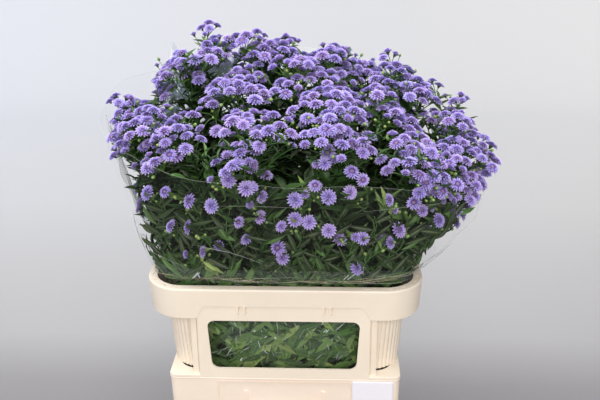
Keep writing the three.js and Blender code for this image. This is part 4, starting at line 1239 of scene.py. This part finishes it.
# A tall flowering tip: a few heads at its end, lone heads and buds down its stem.
def addSpire(spray, tip):
    draw, choice = spray.draw, spray.chance.choice
    root = spray.spot(min(spray.top, tip.z - 60))
    path = spray.addStalk(root, tip - skyward * 16, skyward + (tip - root).normalized() * 0.5, 8, 1.3, 0.9)
    spots = [(0.0, 0.0)] + [(fullTurn * (i + 0.5 * draw()) / 4, -5 - 5 * draw()) for i in range(choice((3, 4, 4)))]
    for angle, rise in spots:
        way = heading(angle) * (0 if rise == 0 else 10.5 + 5 * draw())
        radius = 8.6 + 2.8 * draw()
        tilt = (skyward + way / 26 + spray.aside() * 0.15).normalized()
        foot = spray.addHead(tip + way + skyward * (rise - 4), tilt, radius, choice(("domed", "domed", "young")))
        spray.addStalk(path[7], foot, skyward + way / 20, 3, 0.7, 0.6)
    for i in (4, 5, 6):
        way = spray.aside()
        end = path[i] + way * (16 + 10 * draw()) + skyward * (18 + 8 * draw())
        spray.addStalk(path[i], end, skyward + way, 3, 0.65, 0.5)
        axis = (skyward + way * 0.4).normalized()
        if draw() < 0.55:
            spray.addHead(end, axis, 6.4 + 2.4 * draw(), "young")
        else:
            spray.buds.append((end, axis, 2.0 + 0.9 * draw()))
        for _ in range(3):
            spray.addLeaf(path[i], spray.aside() + skyward * 0.5, 16 + 14 * draw(), 0.42)


# A point at a share of the way along a path.
def along(path, share):
    steps = len(path) - 1
    k = min(steps - 1, int(share * steps))
    return path[k].lerp(path[k + 1], share * steps - int(share * steps))


# A leafy side shoot from one point to another.
def addShoot(spray, root, end, step, length, tone, shape="lance"):
    draw = spray.draw
    path = spray.addStalk(root, end, skyward, 6, 1.3, 0.7)
    count = max(3, int((end - root).length / step))
    turn = draw() * fullTurn
    for i in range(count):
        t = (i + 0.5) / count
        turn += goldenAngle
        way = heading(turn, 0.35 + 0.9 * draw())
        spray.addLeaf(along(path, t), way, between(*length, draw()) * (1 - 0.25 * t), tone + 0.1 * t, shape)


# A shoot that runs up close behind the film, its leaves lying flat against it.
def addPressedShoot(spray, angle, low, high, length, tone, depth, slimness):
    draw = spray.draw
    steps = 6
    path = []
    for z in ((low + (high - low) * i / steps) for i in range(steps + 1)):
        level = levelAt(z)
        lean = angle + 0.03 * math.sin(len(path) + angle * 9)
        path.append(ringPoint(level, lean, ovalReach(level, lean, depth), z))
    level = levelAt(low)
    away = Vector((math.cos(angle) / level[2], math.sin(angle) / level[3], 0)).normalized()
    if abs(math.sin(angle)) > 0.45:
        away = Vector((0.25 * away.x, math.copysign(1, away.y), 0)).normalized()
    spray.runs.append(tapered([point - away * 8 for point in [spray.spot(low - 40)] + path], 1.2, 0.8))
    beside = away.cross(skyward)
    count = max(3, int((high - low) / 9))
    for i in range(count):
        at = along(path, (i + draw() * 0.8) / count)
        lean = (1 if i % 2 else -1) * (0.25 + 1.15 * draw())
        way = beside * math.sin(lean) + skyward * math.cos(lean) + away * (0.18 * draw())
        size = between(*length, draw())
        up = away + skyward * 0.25 + spray.aside() * 0.25
        slim = slimness * (0.8 + 0.5 * draw())
        spray.leaves.append((at + away * (2 - 7 * draw()), way, up, size, size * slim,
                             tone + 0.5 * (draw() - 0.45), 0.4 * draw(), "lance"))


def growSpray(spray):
    plan, draw = sprayPlan, spray.draw
    heights = [z for z in plan["stemHeights"] if z < spray.top - 15] + [spray.top]
    spray.runs.append(tapered([spray.spot(z) for z in heights], plan["stemFoot"], plan["stemTop"]))
    # leaves up the stem, long ones below and small ones under the flowers
    turn = draw() * fullTurn
    z = 306.0 if spray.outer else 400.0
    while z < spray.top + 6:
        turn += goldenAngle
        low = z < 470
        way = heading(turn, (0.55 if low else 0.7) + 0.5 * draw())
        if spray.outer and low:
            way += heading(spray.angle) * 0.35
        size = between(*plan["lowLeaf" if z < 585 else "highLeaf"], draw()) * (0.85 if z > 470 else 1)
        spray.addLeaf(spray.spot(min(z, spray.top)), way, size, 0.24 + 0.2 * smoothStep(330, 640, z), "lance")
        z += plan["leafStep"] * (0.8 + 0.5 * draw()) * (1 if spray.outer else 1.3)
    for centre, axis in spray.big:
        addCluster(spray, centre, axis)
    for centre, axis in spray.small:
        addSingle(spray, centre, axis)
    # leafy side shoots low down, where they show in the windows
    if spray.outer:
        for k in range(plan["sideShoots"]):
            root = spray.spot(300 + 26 * k + 14 * draw())
            turn = spray.angle + (draw() - 0.5) * 2.6
            end = root + Vector((math.cos(turn) * (24 + 26 * draw()), math.sin(turn) * (18 + 20 * draw()),
                                 55 + 25 * draw()))
            addShoot(spray, root, keptInside(end, 9, 0), 9, (34, 58), 0.32)
    # shoots that fill the bunch under the flowers, given a dark tone as painted shade where they stand deep
    for k in range(plan["fillShoots"]):
        root = spray.spot(440 + (spray.top - 470) * k / plan["fillShoots"])
        end = root + spray.aside() * (30 + 40 * draw()) + skyward * (46 + 22 * draw())
        if end.z < spray.top + 40:
            step, length, shape = (6, (18, 30), "narrow") if end.z > spray.top - 24 else (8.5, (30, 50), "lance")
            addShoot(spray, root, keptInside(end, 14, 0), step, length, 0.08 + 0.1 * draw(), shape)


# Leaves pressed against the film, in three zones up the sleeve; each layer further in is darker, a painted shade.
pressedZones = [
    {"low": 304, "high": 384, "step": 0.13, "layers": 3, "layerRise": 24, "length": (38, 62), "slim": 0.105,
     "tone": 0.46, "darker": 0.2, "depth": 5, "halfWidth": 118},
    {"low": 448, "high": 484, "step": 0.15, "layers": 2, "layerRise": 8, "length": (34, 50), "slim": 0.12,
     "tone": 0.26, "darker": 0.12, "depth": 5, "halfWidth": 1000},
    {"low": 486, "high": 568, "step": 0.26, "layers": 2, "layerRise": 8, "length": (24, 40), "slim": 0.1,
     "tone": 0.06, "darker": 0.04, "depth": 18, "halfWidth": 1000},
]
# Heads that show through the front of the film, in degrees round it and height.
frontHeads = [
    (-139, 616), (-148, 605), (-131, 608), (-124, 603), (-107, 635), (-104, 621), (-109, 609), (-106, 592),
    (-115, 644), (-121, 643), (-142, 562), (-135, 566), (-115, 582), (-91, 618), (-92, 588), (-98, 578), (-99, 540),
    (-95, 521), (-136, 520), (-130, 528), (-128, 504), (-83, 639), (-87, 626), (-70, 628), (-66, 646), (-56, 614),
    (-54, 599), (-78, 572), (-86, 584), (-67, 560), (-64, 559), (-52, 548), (-51, 568), (-44, 593), (-33, 597),
    (-37, 573), (-33, 622), (-36, 612), (-56, 501), (-78, 622),
]
# Tall flowering tips that stand out of the bunch's outline.
spireTips = [
    (-262, 40, 704), (-250, 70, 694), (-224, 10, 686), (-192, 130, 736), (-166, 84, 716), (-131, 150, 795),
    (-157, 150, 727), (-118, 130, 746), (-95, 150, 768), (-55, 160, 779), (-8, 150, 773), (4, 130, 740),
    (36, 140, 743), (78, 140, 752), (106, 120, 728), (154, 130, 752), (187, 110, 722), (223, 100, 713),
    (264, 70, 697), (274, 40, 655), (292, -10, 608), (-240, -30, 650), (250, 10, 672), (130, 150, 728),
    (-210, 90, 712), (-98, 112, 738), (-74, 130, 752), (-86, 60, 690),
]
# Gaps between the groups of heads at the left of the crown: where each one's middle
# stands 100 mm behind the sleeve's middle, and its radius. A gap leans with depth.
crownGaps = [(-229, 694, 20), (-153, 765, 19)]
gapLean = (-0.2, -0.227)
gapDepth = 100


def nearestSpray(sprays, angle):
    return min(sprays, key=lambda spray: abs(math.remainder(spray.angle - angle, fullTurn)))


# Leaves crowd against the film in both windows, and flowering side branches
# stand behind it above the collar.
def growBehindFilm(sprays):
    outer = [spray for spray in sprays if spray.outer]
    for zone in pressedZones:
        angle, low, high = -math.pi, zone["low"], zone["high"]
        while angle < math.pi:
            if abs(ovalReach(levelAt(low), angle, zone["depth"]) * math.cos(angle)) < zone["halfWidth"]:
                nearest = nearestSpray(outer, angle)
                for layer in range(zone["layers"]):
                    foot = low + zone["layerRise"] * layer + 14 * nearest.draw()
                    addPressedShoot(nearest, angle + 0.035 * layer, foot, foot + high - low, zone["length"],
                                    zone["tone"] - zone["darker"] * layer, zone["depth"] + 6 * layer, zone["slim"])
            angle += zone["step"]
    for degrees, z in frontHeads:
        at = math.radians(degrees)
        addSprig(nearestSpray(outer, at), at, z, 13, 1)
    for row, share in enumerate(sprayPlan["sprigShare"]):
        turn = -math.pi + 0.1 * row
        while turn < math.pi:
            nearest = nearestSpray(outer, turn)
            draw = nearest.draw
            at = turn + 0.2 * (draw() - 0.5)
            z = sprayPlan["sprigLow"] + sprayPlan["sprigRise"] * row + 22 * (draw() - 0.5)
            # in front the heads stand where frontHeads puts them
            inFront = z < 652 and -162 < math.degrees(at) < -24
            if draw() < share and z < sleeveTop(at) + 30 and not inFront:
                addSprig(nearest, at, z, 11 + 12 * draw())
            turn += sprayPlan["sprigStep"]


def inGap(point):
    deep = point.y - gapDepth
    return any(math.hypot(point.x - x - gapLean[0] * deep, point.z - z - gapLean[1] * deep) < reach
               for x, z, reach in crownGaps)


# How deep a point stands in the bunch, under its flowers or behind its film.
def depthOf(spray, point):
    level = levelAt(point.z)
    dx, dy = point.x - level[0], point.y - level[1]
    beside = ovalReach(level, math.atan2(dy, dx), 0) - math.hypot(dx, dy)
    return max(0, min(beside, spray.top + 44 - point.z))


# Leaves are darker deep inside the bunch, a painted shade, and a few are pale, partly fresh leaves and partly painted
# highlights, while the others there are darker, a painted shade: how much paler one may be, how rare that is, and how
# much darker the others are there.
leafTones = {
    "deepFrom": 14, "deepTo": 60, "deepDarker": 0.26, "outsidePaler": 0.05, "limit": 0.84,
    "crownAbove": 590, "crownPaler": 0.4, "crownDeepTo": 50,
    "filmAbove": 484, "behindFilm": (0.95, 5, 0.3), "inWindows": (0.55, 3, 0.11),
}


def leafTone(spray, root, tone):
    s = leafTones
    depth = depthOf(spray, root)
    # painted shade: the deeper a leaf stands in the bunch, the darker it is
    tone -= s["deepDarker"] * smoothStep(s["deepFrom"], s["deepTo"], depth) - s["outsidePaler"]
    # a few leaves are paler, partly fresh ones and partly painted highlights; behind the film and in the windows the
    # others are darker, a painted shade
    if root.z > s["crownAbove"]:
        return tone + s["crownPaler"] * spray.draw() ** 2 * (1 - smoothStep(s["deepFrom"], s["crownDeepTo"], depth))
    paler, rarity, darker = s["behindFilm" if root.z > s["filmAbove"] else "inWindows"]
    return min(s["limit"], tone + paler * spray.draw() ** rarity - darker)


def buildBlooms(spray):
    draw = spray.draw
    blooms = plantMesh()[0]
    for place, axis, radius, kind in spray.heads:
        place = keptInside(place, radius * 0.55 + 2.5, 8 if place.y > -40 else -4)
        place.z = min(place.z, liftLimit - radius * 0.9)
        template = spray.chance.choice(headMeshes[kind])
        stamp(blooms, template, headMatrix(place * mm, axis, radius * mm, draw() * fullTurn),
              0.10 * (draw() - 0.6), draw() ** 1.5)
    for place, axis, size in spray.buds:
        place = keptInside(place, size + 3, 6)
        place.z = min(place.z, liftLimit - 3 * size)
        stamp(blooms, budMesh, headMatrix(place * mm, axis, size * mm, draw() * fullTurn),
              0.15 * (draw() - 0.5), 0.25 * draw())
    return objectFrom(blooms, f"{spray.tag}_blooms", [petals, disc, foliage])


def buildFoliage(spray):
    greens, tone, _ = plantMesh()
    greens.loops.layers.uv.new("leafGrid")
    # stems are darker than the thin stalks, and both are paler higher up, from 420 to 600 mm
    for thin, toneLow, toneRise in ((False, 0.3, 0.1), (True, 0.42, 0.18)):
        picked = [points for points in spray.runs if (points[0][1] < 1.25 * mm) == thin]
        for vert in addTubes(greens, picked):
            vert[tone] = toneLow + toneRise * smoothStep(0.42, 0.6, vert.co.z)
    # a place on the leaf's pattern that has no veins
    uv = greens.loops.layers.uv["leafGrid"]
    for face in greens.faces:
        for loop in face.loops:
            loop[uv].uv = (0.0, 0.25)
    for root, way, up, length, halfWidth, toneHere, mood, shape in spray.leaves:
        stamp(greens, leafMeshes[shape], leafMatrix(root * mm, way, up, length * mm, halfWidth * mm),
              leafTone(spray, root, toneHere), mood)
    # nothing green passes through the film or the collar
    for vert in greens.verts:
        if vert.co.z > 0.29:
            vert.co = keptInside(vert.co / mm, sprayPlan["inset"], 4) * mm
        vert.co.z = min(vert.co.z, liftLimit * mm)
    return objectFrom(greens, f"{spray.tag}_foliage", [foliage])


sprayCount = sum(1 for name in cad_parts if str(name).endswith("_flowers"))
sprays = [Spray(number) for number in range(1, sprayCount + 1)]
for spray in sprays:
    growSpray(spray)
growBehindFilm(sprays)
for place in spireTips:
    tip = Vector(place)
    addSpire(min(sprays, key=lambda spray: (spray.spot(tip.z - 60) - tip).length), tip)
for spray in sprays:
    spray.heads, spray.buds, spray.leaves = ([part for part in parts if not inGap(part[0])]
                                             for parts in (spray.heads, spray.buds, spray.leaves))
    spray.runs = [points for points in spray.runs if not inGap(points[-1][0] / mm)]
    bloomPiece = buildBlooms(spray)
    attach(bloomPiece, "root")
    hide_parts(f"{spray.tag}_flowers")
    greenPiece = buildFoliage(spray)
    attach(greenPiece, "root")
    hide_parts(f"{spray.tag}_stem_and_leaves")
headTotal, leafTotal = sum(len(spray.heads) for spray in sprays), sum(len(spray.leaves) for spray in sprays)
print("sprays made:", sprayCount, "heads:", headTotal, "leaves:", leafTotal)

# The camera stands where the photo was taken from; lights are soft panels.
studio = {
    "floorFront": -4.0, "floorBack": 2.4, "curve": 1.2, "height": 4.5, "halfWidth": 6.0,
    "cameraPlace": (0.07516, -1.21159, 1.01865), "pitch": 21.29, "azimuth": 2.66, "roll": -0.57, "lens": 51.0,
    "airColour": "#eceef2", "airStrength": 0.4,
    # place, target, size in metres, watts and colour
    "lights": {
        "overhead": ((-0.3, -0.1, 2.7), (0, 0.1, 0.4), (2.4, 1.8), 74, "#ffffff"),
        "front": ((0.3, -2.9, 1.9), (0, 0, 0.4), (2.4, 1.6), 76, "#fff8f0"),
        "leftFill": ((-2.3, -0.4, 1.3), (0, 0, 0.5), (1.4, 1.6), 11, "#f4f7ff"),
        "backLeft": ((-2.3, 1.3, 2.6), (-2.6, 3.5, 1.6), (1.4, 1.2), 71, "#e9f0ff"),
        "backRight": ((2.3, 1.3, 2.6), (2.6, 3.5, 1.6), (1.4, 1.2), 59, "#fffdf6"),
    },
}


# A floor that curves up into a backdrop behind the object.
def makeStage():
    s = studio
    bm = bmesh.new()
    start = [bm.verts.new((-s["halfWidth"], y, 0)) for y in (s["floorFront"], s["floorBack"])]
    bm.edges.new(start)
    bmesh.ops.spin(bm, geom=[start[1]], cent=(0, s["floorBack"], s["curve"]), axis=(1, 0, 0), dvec=(0, 0, 0),
                   angle=math.pi / 2, steps=24)
    topVert = max(bm.verts, key=lambda vert: (vert.co.z, vert.co.y))
    for vert in bmesh.ops.extrude_vert_indiv(bm, verts=[topVert])["verts"]:
        vert.co.z = s["height"]
    extruded = bmesh.ops.extrude_edge_only(bm, edges=list(bm.edges))["geom"]
    moved = [item for item in extruded if isinstance(item, bmesh.types.BMVert)]
    bmesh.ops.translate(bm, verts=moved, vec=(2 * s["halfWidth"], 0, 0))
    bmesh.ops.recalc_face_normals(bm, faces=bm.faces)
    return objectFrom(bm, "studio_floor", [makeBackdrop()], 180)


def addLight(name, place, target, size, power, colour):
    light = bpy.data.lights.new(name, "AREA")
    light.shape = "RECTANGLE"
    light.size, light.size_y = size
    light.energy = power
    light.color = linearColour(colour)[:3]
    turn = (Vector(target) - Vector(place)).to_track_quat("-Z", "Y").to_matrix().to_4x4()
    linkObject(name, light).matrix_world = Matrix.Translation(place) @ turn


def makeCamera():
    s = studio
    pitch, azimuth, roll = (math.radians(s[key]) for key in ("pitch", "azimuth", "roll"))
    back = Vector((math.sin(azimuth) * math.cos(pitch), -math.cos(azimuth) * math.cos(pitch), math.sin(pitch)))
    right = (-back).cross(skyward).normalized()
    up = right.cross(-back)
    rightRolled = right * math.cos(roll) + up * math.sin(roll)
    upRolled = up * math.cos(roll) - right * math.sin(roll)
    camera = bpy.data.cameras.new("camera")
    camera.lens = s["lens"]
    camera.sensor_width = 36.0
    camera.sensor_fit = "HORIZONTAL"
    camera.clip_end = 60
    holder = linkObject("camera", camera)
    turn = Matrix((rightRolled, upRolled, back)).transposed().to_4x4()
    holder.matrix_world = Matrix.Translation(s["cameraPlace"]) @ turn
    scene.camera = holder


makeStage()
for name, settings in studio["lights"].items():
    addLight(name, *settings)
scene.world = bpy.data.worlds.new("studioAir")
scene.world.use_nodes = True
background = scene.world.node_tree.nodes["Background"]
background.inputs["Color"].default_value = linearColour(studio["airColour"])
background.inputs["Strength"].default_value = studio["airStrength"]
makeCamera()
print("studio made")
